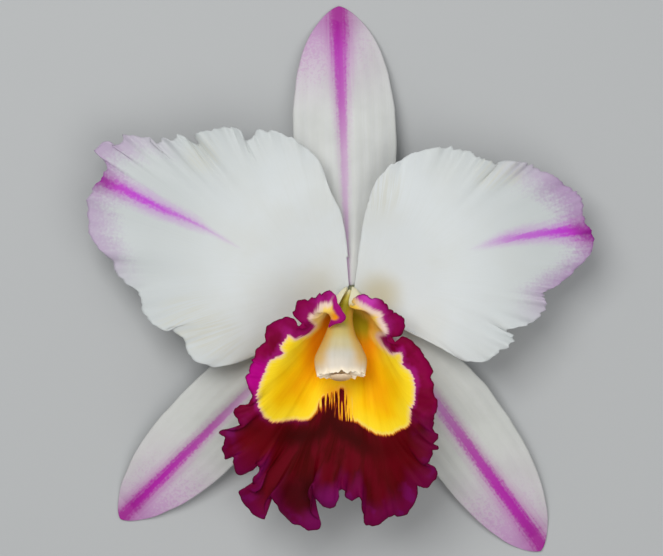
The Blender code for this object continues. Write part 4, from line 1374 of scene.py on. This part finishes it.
def lip_finish():
    """Velvet grounds with the yellow throat laid over them, border and flames included."""
    coat = Finish("lip_velvet")
    fan = coat.number("round_rim")
    reach = coat.number("reach")
    plan_y = coat.number("plan_y")
    veins = coat.streaks((fan, 3.0), (reach, 0.06), 5.0, 0.6)
    blotches = coat.streaks((fan, 0.35), (reach, 0.08), 3.0)
    patch = coat.noise(coat.place, 190.0, 3.0)
    ground, front = lip_grounds(coat, veins, blotches, patch)
    gold = lip_gold(coat, veins, blotches)
    centre = coat.fade(coat.beside(coat.number("plan_x"), -3.4), 6.5, 1.0)
    level = coat.calc("MULTIPLY_ADD", coat.number("plan_x"), 0.3, plan_y)
    top = coat.fade(level, -15.0, -8.0)
    border, soft = lip_border(coat, veins, top, centre)
    pale = coat.calc("DIVIDE", border, coat.calc("MULTIPLY_ADD", top, 1.5, 1.0))
    cream = coat.glaze(LOWER_CREAM, UPPER_CREAM, top)
    gold = coat.glaze(gold, cream, coat.fade(pale, 1.5, 0.5))
    flames = coat.times(centre, coat.fade(plan_y, -24.0, -28.0))
    gold = coat.glaze(gold, FLAME_AMBER, flames, 0.85)
    blush = coat.glaze(coat.glaze(LOWER_BLUSH, UPPER_BLUSH, top), FRONT_BLUSH, front)
    gold = coat.glaze(gold, blush, coat.fade(pale, 0.65, 0.1))
    gold = blotched(coat, gold, GOLD_BLOTCHES_AND_PAINTED_LIGHT, patch)
    colour = coat.glaze(ground, gold, coat.fade(border, soft, 0.2))
    turned = coat.times(coat.fade(fan, 5.6, 4.6), coat.fade(coat.number("rim"), 2.8, 1.5))
    colour = coat.glaze(colour, TURNED_PINK, turned)
    # partly painted light: the sleeve is made brighter than the tissue to lift the shadow in the slit
    # beside the column
    sleeve = coat.times(coat.fade(coat.number("outward"), 0.78, 0.66), coat.fade(plan_y, -5.5, -3.0))
    colour = coat.glaze(colour, SLEEVE_CREAM_AND_PAINTED_LIGHT, sleeve)
    coat.relief(coat.calc("ADD", coat.times(veins, 0.25), coat.times(patch, 0.6)), 0.03)
    return coat.settle(colour, 0.6, glow=0.05, specular=0.05)


dress(lip, "lip", lip_finish())

# %% [markdown]
# ## Waxy finishes
# Column and cap are cream and waxy. The column turns olive at its neck, where it goes down
# into the throat, and that olive is partly painted shade. Along its sides lies a painted amber
# reflection of the yellow round it. The pedicel is pale green, faintly streaked along its
# ribs, and paler at its fresh cut.

# %% Waxy colours
# the dark olive from 0.25 to 0.46 is partly the neck's own green and partly painted shade where it goes
# down into the throat
COLUMN_COLOURS_AND_SHADE = (
    (0.0, (0.95, 0.88, 0.58)), (0.14, (0.94, 0.84, 0.46)), (0.25, (0.66, 0.54, 0.06)),
    (0.35, (0.40, 0.33, 0.008)), (0.46, (0.50, 0.40, 0.03)), (0.57, (0.62, 0.50, 0.16)),
    (0.70, (0.64, 0.56, 0.32)), (0.84, (0.64, 0.60, 0.51)), (0.92, (0.70, 0.63, 0.53)),
    (1.0, (1.0, 0.86, 0.66)),
)
CAP_COLOURS = ((0.0, (0.74, 0.56, 0.38)), (1.0, (0.60, 0.40, 0.22)))
PEDICEL_COLOURS = (
    (0.0, (0.50, 0.52, 0.28)), (0.5, (0.33, 0.42, 0.15)),
    (0.99, (0.33, 0.42, 0.15)), (1.0, (0.50, 0.55, 0.30)),
)
WAX_STREAK = (0.40, 0.34, 0.16)
# painted reflection of the yellow lip on the column's sides
PAINTED_AMBER_REFLECTION = (0.66, 0.38, 0.06)
print("the column's colour changes at", [share for share, _ in COLUMN_COLOURS_AND_SHADE])

# %% Waxy finish
def waxy(name, stops, roughness, glow, reflection_share=0.0):
    """A waxy finish whose colour changes along the piece: (share, colour) from heart to end, with a
    painted amber reflection on its sides as thick as the last share.
    """
    coat = Finish(name)
    along = coat.number("along")
    turn = coat.number("turn")
    streaks = coat.streaks((turn, 4.0), (along, 3.0), 4.0)
    colour = stops[0][1]
    for (start, _), (end, following) in zip(stops, stops[1:]):
        colour = coat.glaze(colour, following, coat.fade(along, start, end))
    colour = coat.glaze(colour, WAX_STREAK, coat.fade(streaks, 0.4, 0.7), 0.12)
    # painted reflection: amber of the yellow lip laid along the sides of the piece
    sided = coat.fade(coat.calc("ABSOLUTE", coat.calc("COSINE", turn)), 0.3, 0.8)
    sided = coat.times(sided, coat.times(coat.fade(along, 0.25, 0.4), coat.fade(along, 1.0, 0.85)))
    colour = coat.glaze(colour, PAINTED_AMBER_REFLECTION, sided, reflection_share)
    coat.relief(streaks, 0.08)
    return coat.settle(colour, roughness, glow=glow)


dress(column, "column", waxy("column_wax", COLUMN_COLOURS_AND_SHADE, 0.4, 0.2, 0.8))
dress(anther_cap, "anther_cap", waxy("cap_wax", CAP_COLOURS, 0.3, 0.2))
dress(pedicel, "pedicel", waxy("pedicel_skin", PEDICEL_COLOURS, 0.4, 0.1))

# %% [markdown]
